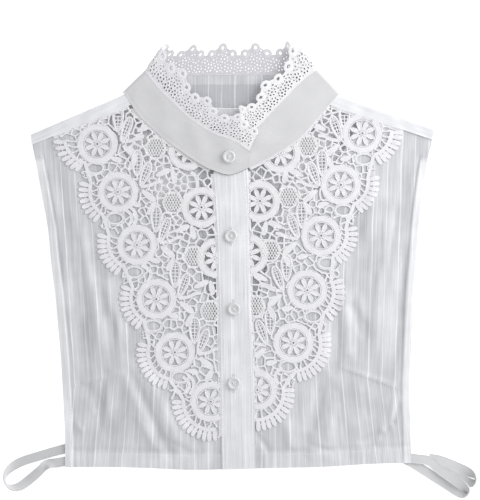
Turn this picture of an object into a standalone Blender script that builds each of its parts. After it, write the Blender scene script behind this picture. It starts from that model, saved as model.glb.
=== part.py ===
"""Detachable collar: a sleeveless false blouse front, laid flat on a table.

It has a back panel, two striped fronts with scalloped lace bibs, a button placket, a stand collar
edged with lace, and an elastic strap at each side that joins the front hem to the back hem. Every
length here is in millimetres and is turned into metres where a mesh is made. X runs across with 0
near the placket, Y runs up from the hem to the neck, and Z is the height above the table.
"""

import math
from collections import namedtuple

import bmesh
import bpy
from mathutils import Vector
from mathutils.geometry import delaunay_2d_cdt

MM = 0.001

# Walls, and the layers they lie in
WALL = 1.0
LACE_WALL = 1.2
PLACKET_WALL = 1.2
SEAM = 0.3
LACE_CLEARANCE = 0.5
PLACKET_CLEARANCE = 0.4
FRONT_UNDER = WALL + SEAM
PLACKET_UNDER = FRONT_UNDER + WALL + PLACKET_CLEARANCE
LACE_UNDER = FRONT_UNDER + WALL + LACE_CLEARANCE
COLLAR_MIDDLE = LACE_UNDER + LACE_WALL / 2

# Hems are a second and third turn of the same cloth
HEM_TURN = 12.0
SIDE_TURN = 6.5
HEM_STEP = 1.0
HEM_WALL = 1.5
PLACKET_COVER = 32.0
STRIP_COVER = 262.0

# The body's edges: height above the hem, and how far each side reaches from the middle
Side = namedtuple("Side", "height left right")
SIDES = [
    Side(27, 143.0, 148.0),
    Side(67, 145.0, 146.8),
    Side(94, 146.5, 148.0),
    Side(121, 149.0, 149.0),
    Side(148, 151.5, 150.0),
    Side(175, 155.0, 152.5),
    Side(202, 157.5, 154.5),
    Side(229, 162.5, 157.5),
    Side(256, 167.5, 161.5),
    Side(272, 170.8, 165.3),
]
HEM = [
    (-143.0, 0.8), (-110.0, 0.8), (-77.0, 0.0), (-50.0, -1.4), (-29.0, -1.7), (-14.0, -1.3),
    (0.0, -0.8), (20.0, -0.4), (38.0, 0.0), (75.0, 0.8), (101.0, 2.5), (130.0, 4.0), (148.0, 4.2),
]
LEFT_TIP, LEFT_NECK = (-172.0, 281.0), (-93.0, 315.0)
RIGHT_TIP, RIGHT_NECK = (168.0, 285.5), (87.0, 314.0)
BACK_NECK = [
    (-91.0, 312.6), (-60.0, 308.2), (-30.0, 304.2), (0.0, 302.7), (30.0, 303.7), (60.0, 307.2),
    (85.0, 311.9),
]

# The strip of back cloth that is turned forward over each shoulder: its lower edge, and the
# depth from the shoulder edge and the height at each place across it
STRIP_DEPTH = 10.4
STRIP_PROFILE = [(0.5, 0.5), (0.5, 1.9), (1.3, 3.0), (3.0, 3.15), (7.0, 3.1), (10.3, 3.1)]
STRIP_STATIONS = 9
STRIP_LEFT_LOW = [(-171.0, 272.0), (-88.2, 305.2)]
STRIP_RIGHT_LOW = [(166.0, 276.3), (80.0, 305.2)]

# Where the front cloth is cut away behind the lace, from the shoulder down to the placket
WINDOW_LEFT = [
    (-108.0, 304.0), (-109.0, 294.6), (-92.6, 263.4), (-75.7, 238.2), (-58.9, 212.9),
    (-42.1, 191.9), (-29.5, 166.6), (-19.4, 133.0), (-15.5, 112.0),
]
WINDOW_RIGHT = [
    (105.0, 304.0), (106.0, 294.6), (89.2, 263.4), (72.4, 238.2), (55.5, 212.9),
    (38.7, 191.9), (26.1, 166.6), (17.7, 133.0), (14.2, 117.0),
]

# The placket's two long edges, from the neck to the hem
PLACKET_WIDE = 29.0
PLACKET_LEFT = [(-18.5, 251.0), (-14.7, 190.0), (-12.6, 98.0), (-10.9, -1.3)]
PLACKET_RIGHT = [(10.8, 253.0), (11.5, 190.0), (13.5, 125.0), (15.6, 71.0), (17.4, -0.5)]
UNDER_PLACKET = [(-12.3, 248.0), (-8.0, 104.0), (-6.2, -1.0)]

# The stand collar, a row at each measured place from the centre front back to the fold:
# the neck seam, the lace seam, the way the lace points in degrees, the lace's share of its
# full width, and how far the place is raised to pass over the other end
Stand = namedtuple("Stand", "seam_x seam_y top_x top_y lean share raised")
STAND_LEFT = [
    Stand(10.5, 252.0, 12.6, 266.8, 66, 0.85, 1.5),
    Stand(-4.2, 246.6, 1.7, 274.4, 62, 0.85, 1.5),
    Stand(-17.7, 250.0, -7.0, 278.0, 56, 0.85, 1.5),
    Stand(-31.1, 256.7, -19.4, 282.5, 52, 0.85, 0.9),
    Stand(-56.4, 274.4, -38.5, 295.2, 50, 0.85, 0.0),
    Stand(-67.3, 283.6, -50.0, 306.0, 48, 0.9, 0.0),
    Stand(-81.0, 296.5, -62.3, 318.1, 50, 1.0, 0.0),
    Stand(-93.0, 315.0, -74.1, 332.4, 55, 1.1, 0.0),
]
STAND_BACK = [
    Stand(-93.0, 315.0, -74.1, 332.4, 55, 1.1, 0.0),
    Stand(-60.0, 308.5, -48.0, 331.2, 68, 1.0, 0.0),
    Stand(-30.0, 304.5, -24.0, 330.8, 80, 1.0, 0.0),
    Stand(0.0, 303.0, 0.0, 330.8, 88, 1.0, 0.0),
    Stand(30.0, 304.0, 22.0, 331.0, 93, 1.0, 0.0),
    Stand(60.0, 307.5, 45.0, 332.0, 97, 1.0, 0.0),
    Stand(87.0, 314.0, 67.3, 334.1, 126, 1.15, 0.0),
]
STAND_RIGHT = [
    Stand(87.0, 314.0, 67.3, 334.1, 126, 1.15, 0.0),
    Stand(76.6, 302.6, 57.0, 326.0, 128, 0.95, 0.0),
    Stand(68.6, 292.9, 46.0, 315.0, 138, 0.85, 0.0),
    Stand(58.1, 281.1, 34.5, 303.0, 143, 0.85, 0.0),
    Stand(46.3, 271.5, 25.5, 293.5, 142, 0.85, 0.0),
    Stand(23.6, 258.4, 13.5, 282.0, 122, 0.85, 0.0),
    Stand(5.0, 250.5, 1.0, 276.5, 108, 0.8, 0.0),
    Stand(-14.0, 250.8, -10.0, 276.0, 95, 0.7, 0.0),
]
COLLAR_RISE = 1.3
LACE_RISE = 0.8
EDGING_VALLEY = 18.5
EDGING_PEAK = 7.5
EDGING_REPEAT = 31.0
EDGING_START = 118.0
EDGING_RING = EDGING_REPEAT / 3
EDGING_RING_REACH = 1.4
FOLD_LEFT_OUT = (-0.763, 0.647)
FOLD_RIGHT_OUT = (0.863, 0.506)

# The lace bibs: each wheel's centre, the reach of its scallop at both ends, and the scallop's
# first and last direction in degrees. Wheels with no reach are inner ones with no scallop.
Wheel = namedtuple("Wheel", "x y reach_first reach_last turn_first turn_last")
WHEELS_LEFT = [
    Wheel(-115.9, 272.7, 38.0, 29.0, 173, 236),
    Wheel(-98.5, 232.3, 34.0, 33.0, 163, 235),
    Wheel(-82.5, 187.7, 35.0, 31.5, 161, 237),
    Wheel(-66.2, 142.2, 31.8, 31.0, 156, 240),
    Wheel(-50.7, 97.3, 32.5, 33.0, 163, 258),
    Wheel(-20.6, 55.7, 33.0, 33.5, 176, 281),
    Wheel(-39.6, 267.6, 0, 0, 0, 0),
    Wheel(-28.2, 219.4, 0, 0, 0, 0),
    Wheel(-15.1, 176.7, 0, 0, 0, 0),
]
WHEELS_RIGHT = [
    Wheel(107.1, 281.7, 35.0, 31.0, 6, -62),
    Wheel(89.0, 238.3, 33.8, 30.0, 15, -56),
    Wheel(72.5, 195.5, 32.0, 29.5, 17, -58),
    Wheel(60.8, 149.7, 31.5, 34.0, 20, -54),
    Wheel(49.1, 105.3, 32.7, 34.0, 18, -84),
    Wheel(18.7, 65.7, 32.0, 35.5, 4, -93),
    Wheel(38.4, 265.1, 0, 0, 0, 0),
    Wheel(21.0, 224.7, 0, 0, 0, 0),
    Wheel(10.9, 179.7, 0, 0, 0, 0),
]
BERRIES_LEFT = [(-66.5, 269.3), (-52.2, 223.4), (-34.5, 177.8), (-20.6, 132.1)]
BERRIES_RIGHT = [(61.4, 271.0), (45.4, 228.1), (29.8, 183.0), (16.8, 136.3)]
LEAVES_LEFT = [(-98.5, 296.0), (-82.5, 258.4), (-66.5, 211.2), (-50.5, 164.4), (-34.1, 117.5)]
LEAVES_RIGHT = [(92.0, 297.0), (73.2, 258.4), (56.0, 214.5), (43.2, 170.5), (29.5, 125.0)]
WHEEL_REACH = 17.0
PETALS = 8
FINGER_PITCH = 4.1
FINGER_DEPTH = 2.2
BERRY_REACH = 9.0
LEAF_REACH = 6.5
KEYHOLE_OUT = 10.5
KEYHOLE_WIDE, KEYHOLE_TALL = 5.8, 3.8
NET_BAR = 1.3
NET_LARGEST, NET_SMALLEST = 4.2, 2.3
NET_HOLES = 44
NET_STEP = 2.6

# Beyond this far from the middle, the net stays clear of the lace's scalloped edge
BAND_FROM = 60.0
BAND_WIDE = 7.8

# Soft folds and stitched darts of the fronts: a ridge from one place to another
Ridge = namedtuple("Ridge", "x0 y0 x1 y1 width height")
RIDGES = [
    Ridge(-158.0, 252.0, -136.0, 45.0, 8.0, 1.5),
    Ridge(-131.0, 222.0, -116.0, 90.0, 9.0, 1.7),
    Ridge(-119.0, 130.0, -54.0, 10.0, 11.0, 2.9),
    Ridge(157.0, 258.0, 141.0, 62.0, 8.0, 1.4),
    Ridge(129.0, 215.0, 118.0, 50.0, 9.0, 1.6),
    Ridge(97.0, 103.0, 104.0, 60.0, 8.0, 1.2),
    Ridge(84.0, 42.0, 60.0, 8.0, 9.0, 1.1),
]
DARTS = [
    Ridge(-130.4, 70.7, -92.0, 81.0, 1.8, 0.8),
    Ridge(138.5, 67.5, 87.0, 86.0, 1.8, 0.8),
]

# Buttons down the placket, with the collar's own first
BUTTONS = [(-5.0, 261.7), (-3.4, 195.2), (-0.8, 133.8), (-0.8, 71.5)]
BUTTON_RADIUS = 5.3
BUTTON_THICK = 2.0
BUTTON_STEPS = 20

# The elastic straps: places along the middle of each, with the way its width points in plan
# and how far that width is tilted up, both in degrees
ELASTIC_WIDTH = 8.0
Place = namedtuple("Place", "x y z across tilt")
STRAP_LEFT = [
    Place(-139.5, 16.8, 1.8, 105, 0), Place(-147.0, 15.0, 1.6, 105, 0),
    Place(-155.7, 12.6, 0.8, 105, 0), Place(-169.2, 8.6, 0.6, 108, 0),
    Place(-178.4, 5.7, 0.7, 112, 5), Place(-186.0, 1.9, 1.6, 122, 20),
    Place(-191.5, -3.0, 3.7, 132, 55), Place(-194.0, -9.0, 4.4, 140, 86),
    Place(-192.2, -14.3, 4.3, 132, 106), Place(-187.3, -16.8, 3.9, 124, 127),
    Place(-181.4, -15.8, 3.0, 125, 149), Place(-175.1, -11.6, 1.3, 131, 170),
    Place(-167.5, -4.6, 0.6, 134, 180), Place(-162.6, -0.4, 1.7, 132, 198),
    Place(-158.6, 2.2, 4.4, 118, 268), Place(-154.6, 2.9, 3.0, 100, 334),
    Place(-150.0, 4.2, 3.0, 96, 358), Place(-143.5, 5.2, 3.3, 90, 360),
]
STRAP_RIGHT = [
    Place(148.5, 8.4, 3.3, 92, 0), Place(154.9, 7.6, 3.1, 88, 0),
    Place(163.3, 6.2, 2.7, 78, 0), Place(168.5, 3.2, 2.4, 64, 0),
    Place(174.0, -0.6, 2.6, 58, 0), Place(183.5, -6.0, 4.0, 58, 0),
    Place(190.2, -11.0, 5.2, 52, 12), Place(194.9, -15.4, 5.3, 47, 40),
    Place(196.9, -19.4, 4.7, 44, 82), Place(194.8, -22.6, 4.1, 50, 122),
    Place(190.6, -22.2, 2.5, 57, 155), Place(185.2, -19.4, 0.9, 60, 176),
    Place(176.7, -14.2, 0.6, 60, 180), Place(164.1, -6.4, 0.6, 60, 180),
    Place(154.0, 0.4, 1.3, 58, 180), Place(148.1, 4.2, 1.8, 58, 180),
    Place(142.6, 7.6, 1.8, 58, 180),
]
STRAP_LOBE = [
    Place(168.5, 7.4, 0.6, 66, 0), Place(174.2, 5.9, 0.6, 64, 0), Place(183.7, 2.1, 0.6, 62, 0),
    Place(191.5, -1.2, 1.1, 60, 6), Place(198.3, -4.4, 2.8, 56, 30),
    Place(202.4, -8.2, 4.3, 50, 80), Place(203.2, -12.2, 4.3, 55, 108),
    Place(200.6, -14.6, 3.0, 60, 145), Place(196.8, -13.8, 1.2, 62, 170),
    Place(191.0, -10.9, 0.6, 60, 180), Place(183.3, -7.0, 0.6, 60, 180),
    Place(174.6, -2.2, 0.6, 60, 180),
]


def clear_scene():
    """Remove whatever objects the file holds."""
    for thing in list(bpy.data.objects):
        bpy.data.objects.remove(thing, do_unlink=True)


def new_collection(name):
    """Make a collection under the scene's own."""
    group = bpy.data.collections.new(name)
    bpy.context.scene.collection.children.link(group)
    return group


def finish_for(name, colour, roughness):
    """Give a plain material for one sub-part."""
    made = bpy.data.materials.new(name)
    made.use_nodes = True
    shader = made.node_tree.nodes["Principled BSDF"]
    shader.inputs["Base Color"].default_value = (*colour, 1.0)
    shader.inputs["Roughness"].default_value = roughness
    shader.inputs["Metallic"].default_value = 0.0
    return made


def through(rows, step):
    """Sample a smooth curve through rows of numbers, about one sample for each step along it."""
    ends = [rows[0]] + list(rows) + [rows[-1]]
    found = []
    for before, start, stop, after in zip(ends, ends[1:], ends[2:], ends[3:]):
        pieces = max(1, round(math.dist(start[:2], stop[:2]) / step))
        for count in range(pieces):
            t = count / pieces
            found.append(tuple(
                0.5 * (2 * b + (c - a) * t + (2 * a - 5 * b + 4 * c - d) * t * t
                       + (3 * b - a - 3 * c + d) * t ** 3)
                for a, b, c, d in zip(before, start, stop, after)))
    found.append(tuple(rows[-1]))
    return found


def shifted(line, distance):
    """Move an open line sideways, to the left of its direction."""
    moved = []
    for index, (x, y) in enumerate(line):
        ax, ay = line[max(index - 1, 0)]
        bx, by = line[min(index + 1, len(line) - 1)]
        size = math.hypot(bx - ax, by - ay)
        moved.append((x - (by - ay) / size * distance, y + (bx - ax) / size * distance))
    return moved


def along(line, y):
    """Give the X of a line, listed from the neck down, at a height."""
    for (ax, ay), (bx, by) in zip(line, line[1:]):
        if ay >= y >= by:
            return ax + (bx - ax) * (ay - y) / (ay - by)
    return line[0][0] if y > line[0][1] else line[-1][0]


def to_segment(x, y, ax, ay, bx, by):
    """Give the distance to a segment, and how far along it the nearest place is."""
    length = (bx - ax) ** 2 + (by - ay) ** 2
    t = max(0.0, min(1.0, ((x - ax) * (bx - ax) + (y - ay) * (by - ay)) / length))
    return math.hypot(x - ax - t * (bx - ax), y - ay - t * (by - ay)), t


def to_edge(x, y, loop):
    """Give the distance from a place to a closed outline."""
    return min(to_segment(x, y, *a, *b)[0] for a, b in zip(loop, loop[1:] + loop[:1]))


def inside(x, y, loop):
    """Say whether a place lies within a closed outline."""
    crossings = 0
    for (ax, ay), (bx, by) in zip(loop, loop[1:] + loop[:1]):
        if (ay > y) != (by > y) and x < ax + (bx - ax) * (y - ay) / (by - ay):
            crossings += 1
    return crossings % 2 == 1


def lift(x, y):
    """Give how far the fronts stand off their lowest layer: waves, folds, neck and corners."""
    height = 0.7 + 0.35 * math.sin(x / 24.0 + 0.6) * math.cos(y / 60.0)
    height += 0.9 * math.exp(-((x / 75.0) ** 2 + ((y - 285.0) / 55.0) ** 2))
    for corner in (-143.0, 148.0):
        height += 1.0 * math.exp(-(((x - corner) / 26.0) ** 2 + ((y - 8.0) / 30.0) ** 2))
    for ridge in RIDGES + DARTS:
        away, t = to_segment(x, y, ridge.x0, ridge.y0, ridge.x1, ridge.y1)
        height += ridge.height * (1 - (2 * t - 1) ** 4) * math.exp(-(away / ridge.width) ** 2)
    return height


def divided(loop, longest):
    """Put more places on a closed outline, so that none of its edges is longer than asked."""
    found = []
    for (ax, ay), (bx, by) in zip(loop, loop[1:] + loop[:1]):
        pieces = max(1, math.ceil(math.dist((ax, ay), (bx, by)) / longest))
        found += [(ax + (bx - ax) * k / pieces, ay + (by - ay) * k / pieces)
                  for k in range(pieces)]
    return found


def loop_edges(loops):
    """Number the edges of several closed outlines that follow one another."""
    edges = []
    first = 0
    for loop in loops:
        edges += [(first + k, first + (k + 1) % len(loop)) for k in range(len(loop))]
        first += len(loop)
    return edges


def sprinkle(outline, holes, fixed, step):
    """Scatter places over an outline in staggered rows, clear of its edges and of fixed places."""
    low_x, high_x = min(p[0] for p in outline), max(p[0] for p in outline)
    low_y, high_y = min(p[1] for p in outline), max(p[1] for p in outline)
    found = []
    row = 0
    y = low_y + step / 2
    while y < high_y:
        x = low_x + (step / 2 if row % 2 else step)
        while x < high_x:
            clear = inside(x, y, outline) and to_edge(x, y, outline) > 0.5 * step
            clear = clear and all(
                not inside(x, y, hole) and to_edge(x, y, hole) > 0.35 * step for hole in holes)
            if clear and all(math.dist((x, y), place) > 0.55 * step for place in fixed):
                found.append((x, y))
            x += step
        y += step * 0.87
        row += 1
    return found


def skin(name, outline, holes, loose, height):
    """Fill an outline with triangles, round holes and through loose places, at a given height."""
    flat = [Vector(p) for loop in [outline] + holes for p in loop] + [Vector(p) for p in loose]
    within_outline = 1
    places, _, filled, *_ = delaunay_2d_cdt(
        flat, loop_edges([outline] + holes), [], within_outline, 1e-5)
    faces = []
    for face in filled:
        middle = sum((places[k] for k in face), Vector((0, 0))) / len(face)
        if not any(inside(middle.x, middle.y, hole) for hole in holes):
            faces.append(face)
    mesh = bpy.data.meshes.new(name)
    mesh.from_pydata(
        [(p.x * MM, p.y * MM, height(p.x, p.y) * MM) for p in places], [], [list(f) for f in faces])
    solid = bmesh.new()
    solid.from_mesh(mesh)
    loose_points = [v for v in solid.verts if not v.link_faces]
    bmesh.ops.delete(solid, geom=loose_points, context="VERTS")
    bmesh.ops.recalc_face_normals(solid, faces=solid.faces)
    if sum(face.normal.z for face in solid.faces) < 0:
        bmesh.ops.reverse_faces(solid, faces=solid.faces)
    solid.to_mesh(mesh)
    solid.free()
    return bpy.data.objects.new(name, mesh)


def ribbon(name, columns, rows, place):
    """Bend a grid into a ribbon: place gives the point at a column number and a row number."""
    solid = bmesh.new()
    bmesh.ops.create_grid(solid, x_segments=columns - 1, y_segments=rows - 1, size=1.0)
    for vertex in solid.verts:
        column = round((vertex.co.x + 1) / 2 * (columns - 1))
        row = round((vertex.co.y + 1) / 2 * (rows - 1))
        vertex.co = Vector(place(column, row)) * MM
    mesh = bpy.data.meshes.new(name)
    solid.to_mesh(mesh)
    solid.free()
    return bpy.data.objects.new(name, mesh)


def thicken(piece, wall, side, weights=None):
    """Give an open surface its wall: side is 1 for upwards and 0 for both ways."""
    solid = piece.modifiers.new("Wall", "SOLIDIFY")
    solid.thickness = wall * MM
    solid.offset = side
    solid.use_rim = True
    if weights:
        group = piece.vertex_groups.new(name="turned")
        for index, weight in enumerate(weights):
            group.add([index], weight, "REPLACE")
        solid.vertex_group = "turned"
    return piece


def shoulder_line(tip, neck, distance):
    """Give both ends of a shoulder edge, moved in towards the hem."""
    toward = Vector((neck[0] - tip[0], neck[1] - tip[1])).normalized()
    down = Vector((toward.y, -toward.x)) if toward.x > 0 else Vector((-toward.y, toward.x))
    return [tuple(Vector(end) + down * distance) for end in (tip, neck)]


def make_back():
    """The back panel lies flat on the table, under everything."""
    inset = WALL + SEAM
    left = shoulder_line(LEFT_TIP, LEFT_NECK, inset)
    right = shoulder_line(RIGHT_TIP, RIGHT_NECK, inset)
    outline = [(-row.left, row.height) for row in SIDES] + left + through(BACK_NECK, 20.0)
    outline += right[::-1] + [(row.right, row.height) for row in SIDES[::-1]] + HEM[::-1]
    piece = skin("back_panel", outline, [], [], lambda x, y: 0.0)
    return thicken(piece, WALL, 1)


def turned_share(x, y):
    """Give the wall's share of the thick hem at a place: thick in the hem and the side turnings."""
    side = [(-row.left, row.height) for row in SIDES] if x < 0 else \
           [(row.right, row.height) for row in SIDES]
    reach = abs(along(side[::-1], y))
    hem_line = min(HEM, key=lambda p: abs(p[0] - x))[1]
    turned = y < hem_line + HEM_TURN + 0.2 or abs(x) > reach - SIDE_TURN - 0.2
    covered = abs(x) < PLACKET_COVER or y > STRIP_COVER
    return 1.0 if turned and not covered else WALL / HEM_WALL


def make_front(name, outline, folds, side):
    """A front panel: hems as a thicker turning, folds and a dart as ridges in its own points."""
    edge = [(side * (row.left if side < 0 else row.right), row.height) for row in SIDES]
    hem = [p for p in HEM if p[0] * side > 12] if side > 0 else [p for p in HEM if p[0] < -12]
    lines = []
    for extra in (0.0, HEM_STEP):
        lines += [(x - side * (SIDE_TURN + extra), y) for x, y in through(edge, 14.0)]
        lines += [(x, y + HEM_TURN + extra) for x, y in through(hem, 14.0)
                  if abs(x) < abs(edge[0][0]) - SIDE_TURN - 4]
    for ridge in folds:
        run = Vector((ridge.x1 - ridge.x0, ridge.y1 - ridge.y0))
        across = Vector((-run.y, run.x)).normalized() * ridge.width
        pieces = max(3, round(run.length / max(10.0, ridge.width * 1.6)))
        for count in range(pieces + 1):
            middle = Vector((ridge.x0, ridge.y0)) + run * count / pieces
            lines += [tuple(middle + across * share) for share in (-1.1, 0.0, 1.1)]
    fixed = []
    for x, y in lines:
        if inside(x, y, outline) and to_edge(x, y, outline) > 2.0:
            if all(math.dist((x, y), kept) > 0.9 for kept in fixed):
                fixed.append((x, y))
    loose = fixed + sprinkle(outline, [], fixed, 11.5)
    piece = skin(name, outline, [], loose, lambda x, y: FRONT_UNDER + lift(x, y))
    weights = [turned_share(v.co.x / MM, v.co.y / MM) for v in piece.data.vertices]
    return thicken(piece, HEM_WALL, 1, weights)


def left_front_outline():
    """The left front ends a little way under the placket."""
    tip = shoulder_line(LEFT_TIP, LEFT_NECK, WALL + 2 * SEAM)[0]
    hem = [p for p in HEM if p[0] < -12]
    outline = [tip] + WINDOW_LEFT + [(-8.7, 104.0), (-6.9, -1.0)] + hem[::-1]
    return divided(outline + [(-row.left, row.height) for row in SIDES], 22.0)


def right_front_outline():
    """The right front has a button stand that runs up under the placket to the neck."""
    tip = shoulder_line(RIGHT_TIP, RIGHT_NECK, WALL + 2 * SEAM)[0]
    hem = [p for p in HEM if p[0] > -5]
    outline = [tip] + WINDOW_RIGHT + [(12.9, 121.0), (10.4, 249.0)] + UNDER_PLACKET + hem
    return divided(outline + [(row.right, row.height) for row in SIDES], 22.0)


def make_strip(name, tip, neck, low):
    """The back's shoulder edge turned forward: down at the edge, then flat over the front."""

    def place(column, row):
        share = column / (STRIP_STATIONS - 1)
        top = Vector(tip).lerp(Vector(neck), share)
        bottom = Vector(low[0]).lerp(Vector(low[1]), share)
        depth, height = STRIP_PROFILE[row]
        spot = top.lerp(bottom, depth / STRIP_DEPTH)
        return spot.x, spot.y, height + (lift(spot.x, spot.y) if row else 0.0)

    return thicken(ribbon(name, STRIP_STATIONS, len(STRIP_PROFILE), place), WALL, 0)


def front_seam(rows, step=4.0):
    """Give the neck seam of one side of the collar."""
    return [(row[0], row[1]) for row in through(rows, step)]


def make_placket():
    """The placket covers the button stand, from the neck seam to the hem."""
    seam = [p for p in front_seam(STAND_LEFT) if p[0] > PLACKET_LEFT[0][0]]
    top = shifted(seam, SEAM * 1.6)
    outline = top + through(PLACKET_LEFT, 22.0)[1:] + through(PLACKET_RIGHT, 22.0)[:0:-1]
    loose = [(along(PLACKET_LEFT, y) + PLACKET_WIDE * share, y)
             for y in range(8, 245, 12) for share in (0.26, 0.74)]
    piece = skin("placket", outline, [], loose, lambda x, y: PLACKET_UNDER + lift(x, y))
    return thicken(piece, PLACKET_WALL, 1)


def collar_stations():
    """List the collar's stations from the left end, round the back, to the right end.

    Each station is a seam point, a lace seam point and the end of the lace, all with heights.
    """
    stations = []

    def front_station(row, high):
        seam_x, seam_y, top_x, top_y, lean, share, raised = row
        seam_z = COLLAR_MIDDLE + lift(seam_x, seam_y) + raised
        ray = Vector((math.cos(math.radians(lean)), math.sin(math.radians(lean)), 0.0)) * share
        ray.z = LACE_RISE / EDGING_VALLEY if high else 0.0
        stations.append([
            Vector((seam_x, seam_y, seam_z if high else WALL / 2)),
            Vector((top_x, top_y, seam_z + COLLAR_RISE if high else WALL / 2)), ray])

    def fold(out, first_front):
        """Turn the wall round the fold, from the station before it to its place on the table."""
        seam, top, ray = stations[-1]
        other = [WALL / 2, WALL / 2]
        if not first_front:
            seam_z = COLLAR_MIDDLE + lift(seam.x, seam.y)
            other = [seam_z, seam_z + COLLAR_RISE]
        turns = 6
        for count in range(1, turns + 1):
            angle = math.pi * count / turns
            fresh = []
            for point, target in zip((seam, top), other):
                radius = abs(point.z - target) / 2
                middle = (point.z + target) / 2
                swing = math.cos(angle) * radius * (1 if point.z > target else -1)
                reach = math.sin(angle) * radius
                fresh.append(Vector((point.x + out[0] * reach, point.y + out[1] * reach,
                                     middle + swing)))
            slope = LACE_RISE / EDGING_VALLEY
            share = (1 + math.cos(angle)) / 2 if first_front else (1 - math.cos(angle)) / 2
            stations.append(fresh + [Vector((ray.x, ray.y, slope * share))])

    for row in through(STAND_LEFT, 3.2):
        front_station(row, True)
    fold(FOLD_LEFT_OUT, True)
    for row in through(STAND_BACK, 3.6)[1:]:
        front_station(row, False)
    fold(FOLD_RIGHT_OUT, False)
    for row in through(STAND_RIGHT, 3.2)[1:]:
        front_station(row, True)
    return stations


def make_collar_band(stations):
    """The stand band is one strip of cloth, folded flat at both sides of the neck."""

    def place(column, row):
        seam, top, _ = stations[column]
        trim = SEAM / 2 / (top - seam).length
        return seam.lerp(top, 1 - trim if row else trim)

    return thicken(ribbon("collar_band", len(stations), 2, place), WALL, 0)


def make_collar_lace(stations):
    """Scalloped lace edging along the band's top, with a small ring at each point of its edge."""
    lengths = [0.0]
    for before, after in zip(stations, stations[1:]):
        lengths.append(lengths[-1] + (after[1] - before[1]).length)

    def place(column, row):
        _, top, ray = stations[column]
        run = lengths[column] - EDGING_START
        wave = 0.5 + 0.5 * math.cos(2 * math.pi * run / EDGING_REPEAT)
        reach = EDGING_VALLEY + EDGING_PEAK * wave
        reach += EDGING_RING_REACH * abs(math.cos(math.pi * run / EDGING_RING))
        return top + ray * (reach if row else SEAM / 2)

    return thicken(ribbon("collar_lace", len(stations), 2, place), WALL, 0)


def finger_edge(wheel):
    """Give one scallop's edge: a row of small rounded fingers on an arc round its wheel."""
    span = wheel.turn_last - wheel.turn_first
    arc = abs(math.radians(span)) * (wheel.reach_first + wheel.reach_last) / 2
    fingers = round(arc / FINGER_PITCH)
    found = []
    for count in range(fingers):
        for share, depth in ((0.0, FINGER_DEPTH), (0.3, 0.0), (0.7, 0.0)):
            t = (count + share) / fingers
            reach = wheel.reach_first + (wheel.reach_last - wheel.reach_first) * t - depth
            turn = math.radians(wheel.turn_first + span * t)
            found.append((wheel.x + reach * math.cos(turn), wheel.y + reach * math.sin(turn)))
    return found


def petal_gaps(wheel):
    """Give the gaps between a wheel's petals."""
    gaps = []
    for count in range(PETALS):
        middle = (count + 0.5) * 360 / PETALS
        corners = ((3.2, 0.0), (9.2, -13.0), (10.4, 0.0), (9.2, 13.0))
        gaps.append([
            (wheel.x + reach * math.cos(math.radians(middle + turn)),
             wheel.y + reach * math.sin(math.radians(middle + turn))) for reach, turn in corners])
    return gaps


def keyholes(wheels, side):
    """Give the oval openings between the scallops of neighbouring wheels."""
    found = []
    outer = [wheel for wheel in wheels if wheel.reach_first]
    for upper, lower in zip(outer, outer[1:]):
        x = (upper.x + lower.x) / 2 + side * KEYHOLE_OUT
        y = (upper.y + lower.y) / 2
        found.append([
            (x + KEYHOLE_WIDE * math.cos(turn), y + KEYHOLE_TALL * math.sin(turn))
            for turn in (2 * math.pi * count / 8 for count in range(8))])
    return found


def net_holes(outline, wheels, berries, leaves, taken):
    """Fill the ground between the motifs with six-sided net holes, the largest first."""
    solids = [(w.x, w.y, WHEEL_REACH) for w in wheels] + [(x, y, BERRY_REACH) for x, y in berries]
    solids += [(x, y, LEAF_REACH) for x, y in leaves]
    for hole in taken:
        x, y = sum(p[0] for p in hole) / len(hole), sum(p[1] for p in hole) / len(hole)
        solids.append((x, y, KEYHOLE_WIDE))
    places = []
    y = min(p[1] for p in outline)
    while y < max(p[1] for p in outline):
        x = min(p[0] for p in outline)
        while x < max(p[0] for p in outline):
            if inside(x, y, outline):
                room = min(math.dist((x, y), (sx, sy)) - reach for sx, sy, reach in solids)
                band = BAND_WIDE if abs(x) > BAND_FROM else 0.0
                room = min(room, to_edge(x, y, outline) - band - NET_BAR / 2)
                if room - NET_BAR > NET_SMALLEST:
                    places.append([min(room - NET_BAR, NET_LARGEST), x, y])
            x += NET_STEP
        y += NET_STEP
    chosen = []
    while places and len(chosen) < NET_HOLES:
        places.sort(reverse=True)
        reach, x, y = places.pop(0)
        chosen.append((x, y, reach))
        for place in places:
            room = math.dist((x, y), place[1:]) - reach - NET_BAR
            place[0] = min(place[0], room)
        places = [place for place in places if place[0] > NET_SMALLEST]
    turns = [math.radians(60 * count + 20) for count in range(6)]
    return [[(x + reach * math.cos(a), y + reach * math.sin(a)) for a in turns]
            for x, y, reach in chosen]


def make_bib(name, side, wheels, berries, leaves, top, seam, front_edge):
    """A lace bib: fingers round its scallops, and its larger gaps cut right through."""
    scallops = [finger_edge(wheel) for wheel in wheels if wheel.reach_first]
    outer = [wheel for wheel in wheels if wheel.reach_first]
    edge = list(scallops[0])
    for upper, lower, points in zip(outer, outer[1:], scallops[1:]):
        end, start = Vector(edge[-1]), Vector(points[0])
        heart = Vector(((upper.x + lower.x) / 2, (upper.y + lower.y) / 2))
        edge += [tuple(((end + start) / 2).lerp(heart, 0.16))] + points
    outline = divided(top + seam + front_edge + edge[::-1], 20.0)
    holes = [gap for wheel in wheels for gap in petal_gaps(wheel)] + keyholes(wheels, side)
    holes = [hole for hole in holes
             if all(inside(x, y, outline) and to_edge(x, y, outline) > 0.9 for x, y in hole)]
    holes += net_holes(outline, wheels, berries, leaves, keyholes(wheels, side))
    loose = sprinkle(outline, holes, [], 13.0)
    piece = skin(name, outline, holes, loose, lambda x, y: LACE_UNDER + lift(x, y))
    return thicken(piece, LACE_WALL, 1)


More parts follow.
